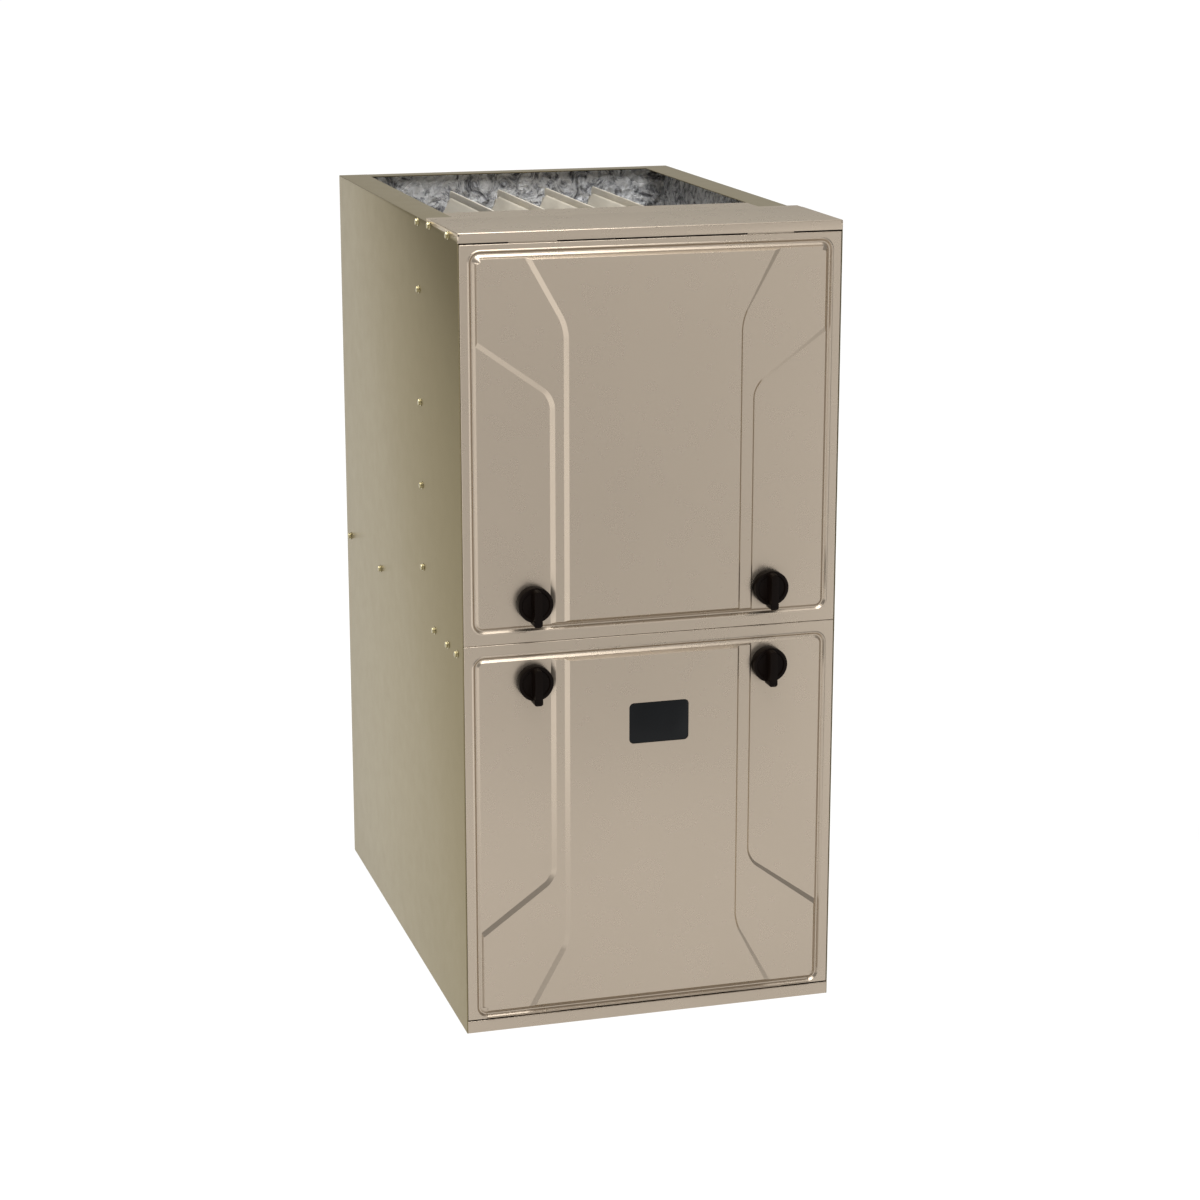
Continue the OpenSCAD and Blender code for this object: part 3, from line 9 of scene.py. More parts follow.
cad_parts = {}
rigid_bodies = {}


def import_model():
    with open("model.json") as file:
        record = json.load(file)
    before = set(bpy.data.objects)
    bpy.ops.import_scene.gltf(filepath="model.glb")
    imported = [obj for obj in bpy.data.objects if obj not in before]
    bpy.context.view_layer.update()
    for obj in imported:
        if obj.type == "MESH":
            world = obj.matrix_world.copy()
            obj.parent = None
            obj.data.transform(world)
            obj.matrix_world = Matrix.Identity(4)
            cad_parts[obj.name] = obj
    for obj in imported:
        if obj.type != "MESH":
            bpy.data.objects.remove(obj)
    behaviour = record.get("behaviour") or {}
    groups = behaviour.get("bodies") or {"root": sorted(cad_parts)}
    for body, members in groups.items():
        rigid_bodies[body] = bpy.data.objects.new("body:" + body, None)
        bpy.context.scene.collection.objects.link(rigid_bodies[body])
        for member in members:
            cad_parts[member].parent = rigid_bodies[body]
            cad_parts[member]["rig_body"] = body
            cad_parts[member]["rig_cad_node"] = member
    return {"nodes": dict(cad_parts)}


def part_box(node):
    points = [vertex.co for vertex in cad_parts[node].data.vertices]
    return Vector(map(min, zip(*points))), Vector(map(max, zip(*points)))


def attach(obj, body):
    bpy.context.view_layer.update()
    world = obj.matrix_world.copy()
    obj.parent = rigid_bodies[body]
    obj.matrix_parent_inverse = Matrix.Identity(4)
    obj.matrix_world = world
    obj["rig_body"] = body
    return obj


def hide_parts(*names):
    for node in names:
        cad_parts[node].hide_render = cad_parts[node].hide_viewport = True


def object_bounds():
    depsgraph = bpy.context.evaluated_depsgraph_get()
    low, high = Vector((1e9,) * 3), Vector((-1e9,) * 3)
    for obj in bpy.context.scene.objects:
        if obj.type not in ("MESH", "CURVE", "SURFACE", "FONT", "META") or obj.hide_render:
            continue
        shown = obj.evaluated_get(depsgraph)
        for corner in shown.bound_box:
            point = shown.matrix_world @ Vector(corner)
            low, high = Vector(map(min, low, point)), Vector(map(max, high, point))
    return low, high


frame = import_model()
frame_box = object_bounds()
mm = 0.001

# ---- modelling helpers ----


def clear_choice():
    if bpy.context.object and bpy.context.object.mode != "OBJECT":
        bpy.ops.object.mode_set(mode="OBJECT")
    bpy.ops.object.select_all(action="DESELECT")


def settle(piece, name):
    """Names a new piece and puts its place into its mesh."""
    piece.name = name
    piece.data.name = name
    clear_choice()
    piece.select_set(True)
    bpy.context.view_layer.objects.active = piece
    bpy.ops.object.transform_apply(location=True, rotation=True, scale=True)
    return piece


def block(name, low, high):
    clear_choice()
    low, high = Vector(low), Vector(high)
    bpy.ops.mesh.primitive_cube_add(size=1, location=(low + high) / 2, scale=high - low)
    return settle(bpy.context.object, name)


TURNS = {"x": (0, math.pi / 2, 0), "y": (math.pi / 2, 0, 0), "z": (0, 0, 0)}


def rod(name, radius, start, length, along, sides=48):
    """A cylinder whose low end is at start."""
    clear_choice()
    middle = Vector(start)
    middle["xyz".index(along)] += length / 2
    bpy.ops.mesh.primitive_cylinder_add(radius=radius, depth=length, vertices=sides,
                                        location=middle, rotation=TURNS[along])
    return settle(bpy.context.object, name)


def edit(piece, kind="FACE"):
    clear_choice()
    piece.select_set(True)
    bpy.context.view_layer.objects.active = piece
    bpy.ops.object.mode_set(mode="EDIT")
    bpy.ops.mesh.select_mode(type=kind)
    bpy.ops.mesh.select_all(action="DESELECT")


def pick_faces(piece, test):
    """Selects the faces whose middle and normal pass the test."""
    mesh = bmesh.from_edit_mesh(piece.data)
    for face in mesh.faces:
        face.select_set(bool(test(face.calc_center_median(), face.normal)))
    mesh.select_flush_mode()
    bmesh.update_edit_mesh(piece.data)


def pick_edges(piece, test):
    """Selects the edges whose two ends pass the test."""
    mesh = bmesh.from_edit_mesh(piece.data)
    for edge in mesh.edges:
        edge.select_set(bool(test(edge.verts[0].co, edge.verts[1].co)))
    mesh.select_flush_mode()
    bmesh.update_edit_mesh(piece.data)


def done():
    bpy.ops.object.mode_set(mode="OBJECT")


def apply(piece, kind, **settings):
    """Adds a modifier and applies it."""
    clear_choice()
    piece.select_set(True)
    bpy.context.view_layer.objects.active = piece
    modifier = piece.modifiers.new(kind.lower(), kind)
    for key, value in settings.items():
        setattr(modifier, key, value)
    bpy.ops.object.modifier_apply(modifier=modifier.name)
    return piece


def round_edges(piece, width, segments=3, angle=25):
    """Rounds the edges that turn by more than the angle, in degrees."""
    return apply(piece, "BEVEL", width=width, segments=segments, limit_method="ANGLE",
                 angle_limit=math.radians(angle), use_clamp_overlap=True, offset_type="OFFSET",
                 harden_normals=False)


def smooth(piece, angle=32):
    clear_choice()
    piece.select_set(True)
    bpy.context.view_layer.objects.active = piece
    bpy.ops.object.shade_smooth_by_angle(angle=math.radians(angle))
    return piece


def even_shading(piece):
    """Smooth edges, with the wide flat faces kept flat."""
    smooth(piece)
    return apply(piece, "WEIGHTED_NORMAL", mode="FACE_AREA", weight=50, keep_sharp=True)


def cut(piece, cutter):
    """Takes the cutter out of the piece, and deletes the cutter."""
    apply(piece, "BOOLEAN", operation="DIFFERENCE", solver="EXACT", object=cutter)
    bpy.data.objects.remove(cutter)
    return piece


def join(piece, *others):
    clear_choice()
    for other in others:
        other.select_set(True)
    piece.select_set(True)
    bpy.context.view_layer.objects.active = piece
    bpy.ops.object.join()
    return piece


def from_frame(node, name):
    """A merged copy of a frame node, with its flat faces joined, to be rounded."""
    source = frame["nodes"][node]
    twin = source.copy()
    twin.data = source.data.copy()
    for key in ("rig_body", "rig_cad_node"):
        if key in twin:
            del twin[key]
    twin.parent = None
    twin.name = name
    twin.data.name = name
    bpy.context.scene.collection.objects.link(twin)
    twin.data.materials.clear()
    edit(twin, "VERT")
    bpy.ops.mesh.select_all(action="SELECT")
    bpy.ops.mesh.remove_doubles(threshold=0.00001)
    bpy.ops.mesh.dissolve_limited(angle_limit=math.radians(0.5), delimit={"NORMAL"})
    done()
    return twin


def near(value, target):
    return abs(value - target) < 0.05 * mm


def fold_edges(piece, test, radius):
    """Rounds the outer edges of folds that pass the test."""
    edit(piece, "EDGE")
    pick_edges(piece, test)
    bpy.ops.mesh.bevel(offset=radius, offset_type="OFFSET", segments=4, affect="EDGES",
                       clamp_overlap=True)
    done()
    return piece


def finish_piece(piece, body, finish, slot, *nodes):
    """Gives a piece its finish, its body, and the frame nodes that it stands for."""
    piece.data.materials.clear()
    piece.data.materials.append(finish)
    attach(piece, body)
    if nodes:
        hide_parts(*nodes)
    return piece


# ---- shader helpers ----


class Wire:
    """A node's output, whose operators add Math nodes."""

    def __init__(self, paint, socket):
        self.paint = paint
        self.socket = socket

    def maths(self, operation, *values):
        return self.paint.node("ShaderNodeMath", {"operation": operation},
                               dict(enumerate(values)))

    def __add__(self, other):
        return self.maths("ADD", self, other)

    def __mul__(self, other):
        return self.maths("MULTIPLY", self, other)


class Paint:
    """A material and the nodes that make its finish."""

    def __init__(self, name, colour, roughness, metallic=0.0, **constants):
        self.material = bpy.data.materials.new(name)
        self.material.use_nodes = True
        self.tree = self.material.node_tree
        self.shader = next(n for n in self.tree.nodes if n.type == "BSDF_PRINCIPLED")
        self.set("Base Color", (*colour, 1.0))
        self.set("Roughness", roughness)
        self.set("Metallic", metallic)
        for key, value in constants.items():
            self.set(key.replace("_", " "), value)
        self.place = self.node("ShaderNodeTexCoord", out="Object")

    def set(self, socket, value):
        if isinstance(value, Wire):
            self.tree.links.new(value.socket, self.shader.inputs[socket])
        else:
            self.shader.inputs[socket].default_value = value

    def node(self, kind, settings=None, values=None, out=0):
        made = self.tree.nodes.new(kind)
        for key, value in (settings or {}).items():
            if key == "stops":
                ramp = made.color_ramp
                while len(ramp.elements) < len(value):
                    ramp.elements.new(0.5)
                for element, (at, colour) in zip(ramp.elements, value):
                    element.position = at
                    element.color = colour if len(colour) == 4 else (*colour, 1.0)
            else:
                setattr(made, key, value)
        for key, value in (values or {}).items():
            if isinstance(value, Wire):
                self.tree.links.new(value.socket, made.inputs[key])
            else:
                made.inputs[key].default_value = value
        return Wire(self, made.outputs[out])

    def spot(self, scale, stretch=(1, 1, 1), detail=4.0, roughness=0.5, distortion=0.0):
        """Cloudy noise at so many lumps per metre, from 0 to 1."""
        place = self.node("ShaderNodeMapping", None, {"Vector": self.place, "Scale": stretch})
        return self.node("ShaderNodeTexNoise", None,
                         {"Vector": place, "Scale": scale, "Detail": detail,
                          "Roughness": roughness, "Distortion": distortion})

    def cells(self, scale, warp, feature="F1", out="Distance"):
        """Cells at so many per metre, bent by noise: warp holds its lumps per metre and reach."""
        lumps = self.node("ShaderNodeTexNoise", None,
                          {"Vector": self.place, "Scale": warp[0], "Detail": 3.0}, out="Color")
        shift = self.node("ShaderNodeVectorMath", {"operation": "SCALE"},
                          {0: lumps, "Scale": warp[1]})
        place = self.node("ShaderNodeVectorMath", {"operation": "ADD"},
                          {0: self.place, 1: shift})
        return self.node("ShaderNodeTexVoronoi", {"feature": feature},
                         {"Vector": place, "Scale": scale}, out=out)

    def between(self, low, high, amount):
        """A colour between two, by an amount from 0 to 1."""
        return self.node("ShaderNodeMix", {"data_type": "RGBA"},
                         {"Factor": amount, 6: (*low, 1.0) if isinstance(low, tuple) else low,
                          7: (*high, 1.0) if isinstance(high, tuple) else high}, out=2)

    def range(self, amount, low, high, to_low, to_high):
        return self.node("ShaderNodeMapRange", None,
                         {"Value": amount, "From Min": low, "From Max": high,
                          "To Min": to_low, "To Max": to_high})

    def bump(self, height, strength, distance, under=None):
        values = {"Height": height, "Strength": strength, "Distance": distance}
        if under is not None:
            values["Normal"] = under
        return self.node("ShaderNodeBump", None, values)


def srgb(*levels):
    """A colour from the 0 to 255 levels of a screen."""
    return tuple(((v / 255 + 0.055) / 1.055) ** 2.4 if v > 10 else v / 255 / 12.92 for v in levels)


# ---- finishes ----


def champagne_coat(name, colour, roughness=0.42):
    """Baked champagne enamel with fine flake, a faint orange peel and light soiling."""
    paint = Paint(name, colour, roughness, 0.85, Coat_Weight=0.06, Coat_Roughness=0.15,
                  Specular_Tint=(1.0, 0.93, 0.78, 1.0))
    flake = paint.spot(2600, detail=2.0)
    cloud = paint.spot(5.5, detail=3.0)
    handled = paint.spot(38, detail=5.0, roughness=0.62)
    tone = paint.between(tuple(c * 0.95 for c in colour), tuple(min(c * 1.05, 1) for c in colour),
                         cloud * 0.6 + flake * 0.4)
    paint.set("Base Color", tone)
    paint.set("Roughness", paint.range(handled, 0.3, 0.75, roughness - 0.015, roughness + 0.02))
    peel = paint.bump(paint.spot(420, detail=1.0), 0.015, 0.0004)
    wave = paint.bump(paint.spot(4, detail=1.0), 0.05, 0.003, peel)
    paint.set("Normal", wave)
    return paint.material


def zinc_coated():
    """Galvanized sheet: grey spangles of different tilt."""
    paint = Paint("galvanized_sheet", srgb(168, 171, 172), 0.4, 0.85)
    spangle = paint.cells(75, (60, 0.006), out="Color")
    grey = paint.node("ShaderNodeRGBToBW", None, {0: spangle})
    cloud = paint.spot(9, detail=4.0)
    paint.set("Base Color", paint.between(srgb(146, 150, 152), srgb(186, 188, 188),
                                          grey * 0.65 + cloud * 0.35))
    paint.set("Roughness", paint.range(grey, 0.2, 0.8, 0.30, 0.48))
    rolled = paint.spot(300, (1, 1, 0.06), detail=2.0)
    paint.set("Normal", paint.bump(rolled, 0.06, 0.0003))
    return paint.material


def aluminized_sheet():
    """Aluminized steel: dull cream grey with drawn streaks."""
    paint = Paint("aluminized_sheet", srgb(206, 199, 184), 0.45, 0.55)
    streak = paint.spot(120, (1, 0.05, 1), detail=4.0)
    cloud = paint.spot(16, detail=5.0, roughness=0.6)
    paint.set("Base Color", paint.between(srgb(184, 177, 162), srgb(218, 211, 196),
                                          streak * 0.4 + cloud * 0.6))
    paint.set("Roughness", paint.range(cloud, 0.3, 0.7, 0.36, 0.56))
    paint.set("Normal", paint.bump(streak, 0.08, 0.0004))
    return paint.material


def crinkled_foil():
    """Bright foil over soft wool: crumpled facets, with painted white highlights and painted dark
    reflections in its colour.
    """
    paint = Paint("crinkled_foil", srgb(226, 227, 230), 0.24, 0.45)
    crumple_and_painted_glints = paint.spot(34, detail=7.0, roughness=0.7, distortion=2.2)
    facets = paint.cells(60, (40, 0.03))
    creases = paint.cells(95, (70, 0.012), "DISTANCE_TO_EDGE")
    dull = paint.spot(14, detail=3.0)
    # painted highlights and reflections: the crumple noise takes the colour from dark grey to near
    # white
    paint.set("Base Color", paint.node("ShaderNodeValToRGB", {"stops": [
        (0.36, srgb(96, 97, 101)), (0.45, srgb(176, 177, 181)), (0.52, srgb(240, 241, 243)),
        (0.62, srgb(252, 252, 253))]}, {"Fac": crumple_and_painted_glints}))
    paint.set("Roughness", paint.range(dull, 0.3, 0.7, 0.16, 0.32))
    first = paint.bump(facets, 0.9, 0.012)
    second = paint.bump(crumple_and_painted_glints, 0.8, 0.010, first)
    paint.set("Normal", paint.bump(creases, 0.35, 0.002, second))
    return paint.material


def moulded(name, colour, roughness, grain=900, tint=1.6, shine=0.5):
    """Moulded plastic or rubber with a fine grain and handling marks."""
    paint = Paint(name, colour, roughness, Specular_IOR_Level=shine)
    cloud = paint.spot(55, detail=4.0)
    paint.set("Base Color", paint.between(colour, tuple(min(c * tint, 1) for c in colour), cloud))
    paint.set("Roughness", paint.range(cloud, 0.3, 0.7, roughness - 0.06, roughness + 0.1))
    paint.set("Normal", paint.bump(paint.spot(grain, detail=2.0), 0.15, 0.0002))
    return paint.material


def metal(name, dark, light, roughness, metallic=0.9, scale=60, stretch=(1, 1, 1), depth=0.0002):
    """Bare or plated metal with uneven tone and fine tooling."""
    paint = Paint(name, light, roughness, metallic)
    cloud = paint.spot(scale, stretch, detail=5.0, roughness=0.6)
    paint.set("Base Color", paint.between(dark, light, cloud))
    paint.set("Roughness", paint.range(cloud, 0.3, 0.7, roughness + 0.08, roughness - 0.05))
    paint.set("Normal", paint.bump(paint.spot(scale * 12, stretch, detail=2.0), 0.12, depth))
    return paint.material


def smoked_pane():
    """Near black glossy pane with faint haze."""
    paint = Paint("smoked_pane", srgb(8, 9, 10), 0.12, Specular_IOR_Level=0.16)
    haze = paint.spot(30, detail=5.0)
    paint.set("Base Color", paint.between(srgb(6, 7, 8), srgb(13, 15, 17), haze))
    paint.set("Roughness", paint.range(haze, 0.3, 0.7, 0.08, 0.22))
    paint.set("Normal", paint.bump(paint.spot(12, detail=1.0), 0.05, 0.002))
    return paint.material


def circuit_laminate():
    """Green board laminate with darker tracks under its varnish."""
    paint = Paint("circuit_laminate", srgb(34, 92, 52), 0.35, Coat_Weight=0.3)
    tracks = paint.node("ShaderNodeTexBrick", {"offset": 0.5},
                        {"Vector": paint.node("ShaderNodeMapping", None,
                                              {"Vector": paint.place,
                                               "Rotation": (math.pi / 2, 0, 0)}),
                         "Scale": 90.0, "Mortar Size": 0.03}, out="Fac")
    paint.set("Base Color", paint.between(srgb(30, 84, 46), srgb(70, 128, 76), tracks))
    paint.set("Roughness", paint.range(paint.spot(80), 0.3, 0.7, 0.28, 0.42))
    paint.set("Normal", paint.bump(tracks, 0.2, 0.0002))
    return paint.material


DOOR_COAT = champagne_coat("champagne_door_coat", srgb(174, 161, 145), 0.28)
# painted shade: the casing's sides and back take a darker, more olive copy of the door's champagne
# coat, so the sides read as shaded
SHADED_CASING_COAT = champagne_coat("champagne_casing_coat_painted_shade", srgb(120, 110, 82), 0.32)
GALVANIZED = zinc_coated()
ALUMINIZED = aluminized_sheet()
FOIL = crinkled_foil()
KNOB_PLASTIC = moulded("knob_plastic", srgb(12, 7, 5), 0.32, 700, shine=0.05)
BLACK_PLASTIC = moulded("black_plastic", srgb(30, 30, 31), 0.45)
RUBBER = moulded("black_rubber", srgb(26, 26, 26), 0.7, 1200)
RED_PLASTIC = moulded("red_plastic", srgb(170, 34, 28), 0.35, tint=1.15)
WHITE_PLASTIC = moulded("white_plastic", srgb(222, 221, 214), 0.4, tint=0.94)
CERAMIC = moulded("ceramic", srgb(216, 208, 190), 0.65, 1500, tint=0.9)
PANE = smoked_pane()
LAMINATE = circuit_laminate()
ZINC = metal("yellow_zinc_plate", srgb(140, 130, 96), srgb(196, 186, 150), 0.34)
MOTOR_ENAMEL = metal("motor_enamel", srgb(46, 47, 50), srgb(66, 67, 70), 0.4, 0.3)
PIPE_ENAMEL = metal("pipe_enamel", srgb(38, 38, 40), srgb(58, 58, 60), 0.5, 0.2)
CASTING = metal("die_casting", srgb(132, 134, 136), srgb(164, 166, 168), 0.5, 0.8, depth=0.0004)
CAN = metal("drawn_can", srgb(168, 170, 174), srgb(206, 208, 210), 0.3, 0.95, stretch=(1, 0.1, 1))
LAMINATIONS = metal("varnished_steel", srgb(96, 90, 80), srgb(128, 121, 108), 0.5, 0.5,
                    stretch=(1, 8, 1))

# ---- sizes taken from the frame ----

box_high = Vector(frame_box[1])


def box_z(node):
    low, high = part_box(node)
    return low[2], high[2]


half_w = box_high.x
back = box_high.y
top = box_high.z
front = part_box("base_rail")[0][1]
flange_z = box_z("back_panel")[1]
sheet = 1.2 * mm
hook_h = 7 * mm
# how far the dressed doors pass their solids: both at the sides, the upper door above and below,
# the lower door at its foot and at the seam
door_widen, door_spread = 1.1 * mm, 0.6 * mm
foot_spread, seam_spread = 1 * mm, 0.5 * mm
door_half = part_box("upper_door")[1][0] + door_widen
door_depth = 20 * mm
fold = 1.2 * mm
seam_z = (box_z("upper_door")[0] + box_z("lower_door")[1]) / 2
knob_low, knob_high = (Vector(corner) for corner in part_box("knob_upper_right"))
knob_x = (knob_low.x + knob_high.x) / 2
knob_r = 22 * mm
knob_rise = knob_high.z - knob_r - seam_z
window_low, window_high = (Vector(corner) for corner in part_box("sight_window"))
window_x = (window_low.x + window_high.x) / 2
window_z = (window_low.z + window_high.z) / 2

# ---- the camera ----


def photo_camera():
    data = bpy.data.cameras.new("photo_camera")
    data.lens = 85.0
    data.sensor_width = 36.0
    camera = bpy.data.objects.new("photo_camera", data)
    bpy.context.scene.collection.objects.link(camera)
    yaw, pitch = math.radians(16.16), math.radians(14.56)
    away = Vector((math.sin(yaw) * math.cos(pitch), math.cos(yaw) * math.cos(pitch),
                   -math.sin(pitch)))
    camera.location = (-1.012, -3.608, 1.438)
    camera.rotation_mode = "QUATERNION"
    camera.rotation_quaternion = away.to_track_quat("-Z", "Y")
    data.clip_end = 60
    bpy.context.scene.camera = camera


photo_camera()

# ---- the stamped doors ----

step_high = 2.8 * mm
step_run = 6 * mm
rim_run = 2 * mm
crest_shift = 3.4 * mm
middle_half = 111 * mm
side_half = 128 * mm
flare_out, flare_drop = 45 * mm, 87 * mm
side_border = 10 * mm
border_at_seam = 13 * mm
panel_corner = 16 * mm
# each step from the panel's edge inward: its width and how far it comes forward, in mm
groove_steps = ((1.4, 0.7), (0.6, 0), (2.5, -2.7), (1.5, 0), (3, 2))
groove_w = 9 * mm
knee_round = 13 * mm
side_rise, side_drop = 68 * mm, 170 * mm
press_round = 0.7 * mm
flat_slack = 0.01 * mm


def raised_by(point, height):
    """Whether a point stands so far in front of the plane of the doors' border."""
    return abs(point.y - front + height) < flat_slack


def wall_knee(across, up):
    """How far the foot of a sloping wall's knee lies beyond its crest."""
    return step_run * math.tan(math.atan2(across, up) / 2)


def plate(name, x0, x1, z0, z1):
    """One face that looks forward, in the plane of the doors' border."""
    clear_choice()
    bpy.ops.mesh.primitive_plane_add(size=1, location=((x0 + x1) / 2, front, (z0 + z1) / 2),
                                     rotation=(math.pi / 2, 0, 0))
    bpy.context.object.scale = (x1 - x0, z1 - z0, 1)
    return settle(bpy.context.object, name)


def bevel_corners(piece, test, radius, segments=8):
    """Rounds the corners of a flat outline that pass the test."""
    mesh = bmesh.from_edit_mesh(piece.data)
    bpy.ops.mesh.select_mode(type="VERT")
    for vert in mesh.verts:
        vert.select_set(bool(test(vert.co)))
    mesh.select_flush_mode()
    bmesh.update_edit_mesh(piece.data)
    bpy.ops.mesh.bevel(offset=radius, offset_type="OFFSET", segments=segments,
                       affect="VERTICES")
    bpy.ops.mesh.select_mode(type="FACE")
    bpy.ops.mesh.select_all(action="DESELECT")


def step_in(width, depth):
    bpy.ops.mesh.inset(thickness=width, depth=depth, use_boundary=True, use_even_offset=True)


def steepen_rim(panel, rim, seam_edge, up, low, high, tip_slope):
    """Moves the crests of the walls that stand along the rim outward, nearer to their feet."""
    mesh = bmesh.from_edit_mesh(panel.data)
    lean = flare_out / flare_drop
    for vert in mesh.verts:
        if front - vert.co.y < step_high - flat_slack:
            continue
        side = 1 if vert.co.x > 0 else -1
        at = (vert.co.z - seam_edge) * up
        across = abs(vert.co.x)
        if near(across, rim - step_run):
            vert.co.x = side * (rim - rim_run)
            if low + 3 * step_run < at < high - 3 * step_run:
                vert.co.z += up * (step_run - rim_run) * tip_slope
        for level in (1, 2):
            shift = level * (step_run - rim_run)
            if near(at, high - level * step_run):
                vert.co.z += up * shift
                if not near(across, rim - step_run):
                    vert.co.x += side * shift * lean
            elif near(at, low + level * step_run):
                vert.co.z -= up * shift
    bmesh.update_edit_mesh(panel.data)


def steepen_right(panel, rim, seam_edge, up, flare_foot, flare_at):
    """Moves the crests of the right-hand walls between the fields nearer to their feet.

    The feet of the flaring walls stay, and so do the ends of the flares and the rim.
    """
    by_wall = 3 * mm
    past_middle = 60 * mm
    end_share = 0.7
    mesh = bmesh.from_edit_mesh(panel.data)
    for vert in mesh.verts:
        raised = front - vert.co.y
        past = max(0, (vert.co.z - seam_edge) * up - flare_at) * flare_out / flare_drop
        on_foot = (abs(vert.co.x - flare_foot - past) < by_wall
                   and raised < 2 * step_high - flat_slack)
        at_end = past > end_share * flare_out
        between_walls = past_middle < vert.co.x < rim - by_wall
        if raised > step_high - flat_slack and between_walls and not on_foot and not at_end:
            vert.co.x += crest_shift
    bmesh.update_edit_mesh(panel.data)


def stamped_panel(name, seam_edge, end_edge, seam_border, end_border):
    """The panel inside a door's border: a groove and three levels of field."""
    up = 1 if end_edge > seam_edge else -1
    inner = door_half - side_border
    low_edge, high_edge = seam_border, abs(end_edge - seam_edge) - end_border
    z0, z1 = sorted((seam_edge + up * low_edge, seam_edge + up * high_edge))
    panel = plate(name, -inner, inner, z0, z1)
    edit(panel)
    bevel_corners(panel, lambda c: True, panel_corner)
    bpy.ops.mesh.select_all(action="SELECT")
    for width, forward in groove_steps:
        step_in(width * mm, forward * mm)

    # where the walls between the fields stand
    rim = inner - groove_w
    high = high_edge - groove_w
    flare_at = high - flare_drop - wall_knee(flare_out, flare_drop)
    flare_foot = middle_half + step_run / 2
    side_foot = side_half + step_run / 2
    tip_out, tip_rise = rim - side_half, side_rise
    side_at = high - side_drop - wall_knee(tip_out, tip_rise)

    def along(c):
        return (c.z - seam_edge) * up

    def field(c, n):
        return n.y < -0.99 and raised_by(c, 0)

    def in_middle(c):
        return abs(c.x) < flare_foot + max(0, along(c) - flare_at) * flare_out / flare_drop

    def in_side(c):
        out = abs(c.x) - side_foot
        return out > 0 and along(c) < side_at + out * tip_rise / tip_out

    def slice_field(test, x, at, lean, rise):
        """Cuts the fields that pass the test along the line through (x, at)."""
        pick_faces(panel, lambda c, n: field(c, n) and test(c))
        bpy.ops.mesh.bisect(plane_co=(x, front, seam_edge + up * at),
                            plane_no=Vector((rise, 0, -lean * up)).normalized())

    slice_field(lambda c: True, 0, flare_at, 1, 0)
    for side in (-1, 1):
        slice_field(lambda c: along(c) < flare_at, side * flare_foot, 0, 0, 1)
        slice_field(lambda c: along(c) > flare_at, side * flare_foot, flare_at,
                    side * flare_out, flare_drop)
    slice_field(lambda c: not in_middle(c) and along(c) < flare_at, 0, side_at, 1, 0)
    for side in (-1, 1):
        slice_field(lambda c: c.x * side > flare_foot and along(c) < side_at,
                    side * side_foot, 0, 0, 1)
        slice_field(lambda c: c.x * side > flare_foot and side_at < along(c) < flare_at,
                    side * side_foot, side_at, side * tip_out, tip_rise)
    for test in (in_middle,
                 lambda c: in_side(c) and c.x < 0, lambda c: in_side(c) and c.x > 0,
                 lambda c: not in_middle(c) and not in_side(c) and c.x < 0,
                 lambda c: not in_middle(c) and not in_side(c) and c.x > 0):
        pick_faces(panel, lambda c, n: field(c, n) and test(c))
        bpy.ops.mesh.dissolve_faces(use_verts=False)

    def knee(c):
        flare_knee = near(abs(c.x), flare_foot) and near(along(c), flare_at)
        side_knee = near(abs(c.x), side_foot) and near(along(c), side_at)
        return (flare_knee or side_knee) and raised_by(c, 0)

    bevel_corners(panel, knee, knee_round, 6)
    # the band and the middle rise together, then the middle alone; the side fields stay low
    side_z = seam_edge + up * (side_at - 40 * mm)

    def side_field(c):
        return abs(c.x) > side_foot + 20 * mm and abs(c.z - side_z) < 170 * mm and in_side(c)

    pick_faces(panel, lambda c, n: field(c, n) and not side_field(c))
    step_in(step_run, step_high)
    pick_faces(panel, lambda c, n: n.y < -0.99 and abs(c.x) < 20 * mm
               and raised_by(c, step_high))
    step_in(step_run, step_high)
    steepen_rim(panel, rim, seam_edge, up, low_edge + groove_w, high, tip_rise / tip_out)
    steepen_right(panel, rim, seam_edge, up, flare_foot, flare_at)
    done()
    return panel


def stamped_door(name, seam_edge, end_edge, seam_border, end_border):
    """The whole pressed sheet: folded edges, border and panel, as one skin."""
    z0, z1 = sorted((seam_edge, end_edge))
    door = plate(name, -door_half, door_half, z0, z1)
    edit(door, "EDGE")
    bpy.ops.mesh.select_all(action="SELECT")
    bpy.ops.mesh.extrude_edges_move(TRANSFORM_OT_translate={"value": (0, door_depth, 0)})
    pick_edges(door, lambda a, b: near(a.y, front) and near(b.y, front))
    bpy.ops.mesh.bevel(offset=fold, segments=6, affect="EDGES")
    bpy.ops.mesh.select_mode(type="FACE")
    pick_faces(door, lambda c, n: raised_by(c, 0))
    bpy.ops.mesh.delete(type="ONLY_FACE")
    done()
    join(door, stamped_panel(name + "_panel", seam_edge, end_edge, seam_border, end_border))
    edit(door, "EDGE")
    mesh = bmesh.from_edit_mesh(door.data)
    for edge in mesh.edges:
        level = all(raised_by(v.co, 0) for v in edge.verts)
        edge.select_set(level and len(edge.link_faces) < 2)
    mesh.select_flush_mode()
    bmesh.update_edit_mesh(door.data)
    bpy.ops.mesh.fill(use_beauty=True)
    bpy.ops.mesh.select_all(action="SELECT")
    bpy.ops.mesh.normals_make_consistent(inside=False)
    mesh = bmesh.from_edit_mesh(door.data)
    outward = sum(f.calc_area() * -f.normal.y for f in mesh.faces)
    if outward < 0:
        bpy.ops.mesh.flip_normals()
    done()
    round_edges(door, press_round, 3, 20)
    apply(door, "SOLIDIFY", thickness=sheet, offset=-1, use_even_offset=True)
    return door


def drill_studs(door, row):
    for side in (-1, 1):
        cut(door, rod("drill", 5.5 * mm, (side * knob_x, front - 0.03, seam_z + row * knob_rise),
                      0.06, "y"))


hook_x, hook_half = 150 * mm, 30 * mm


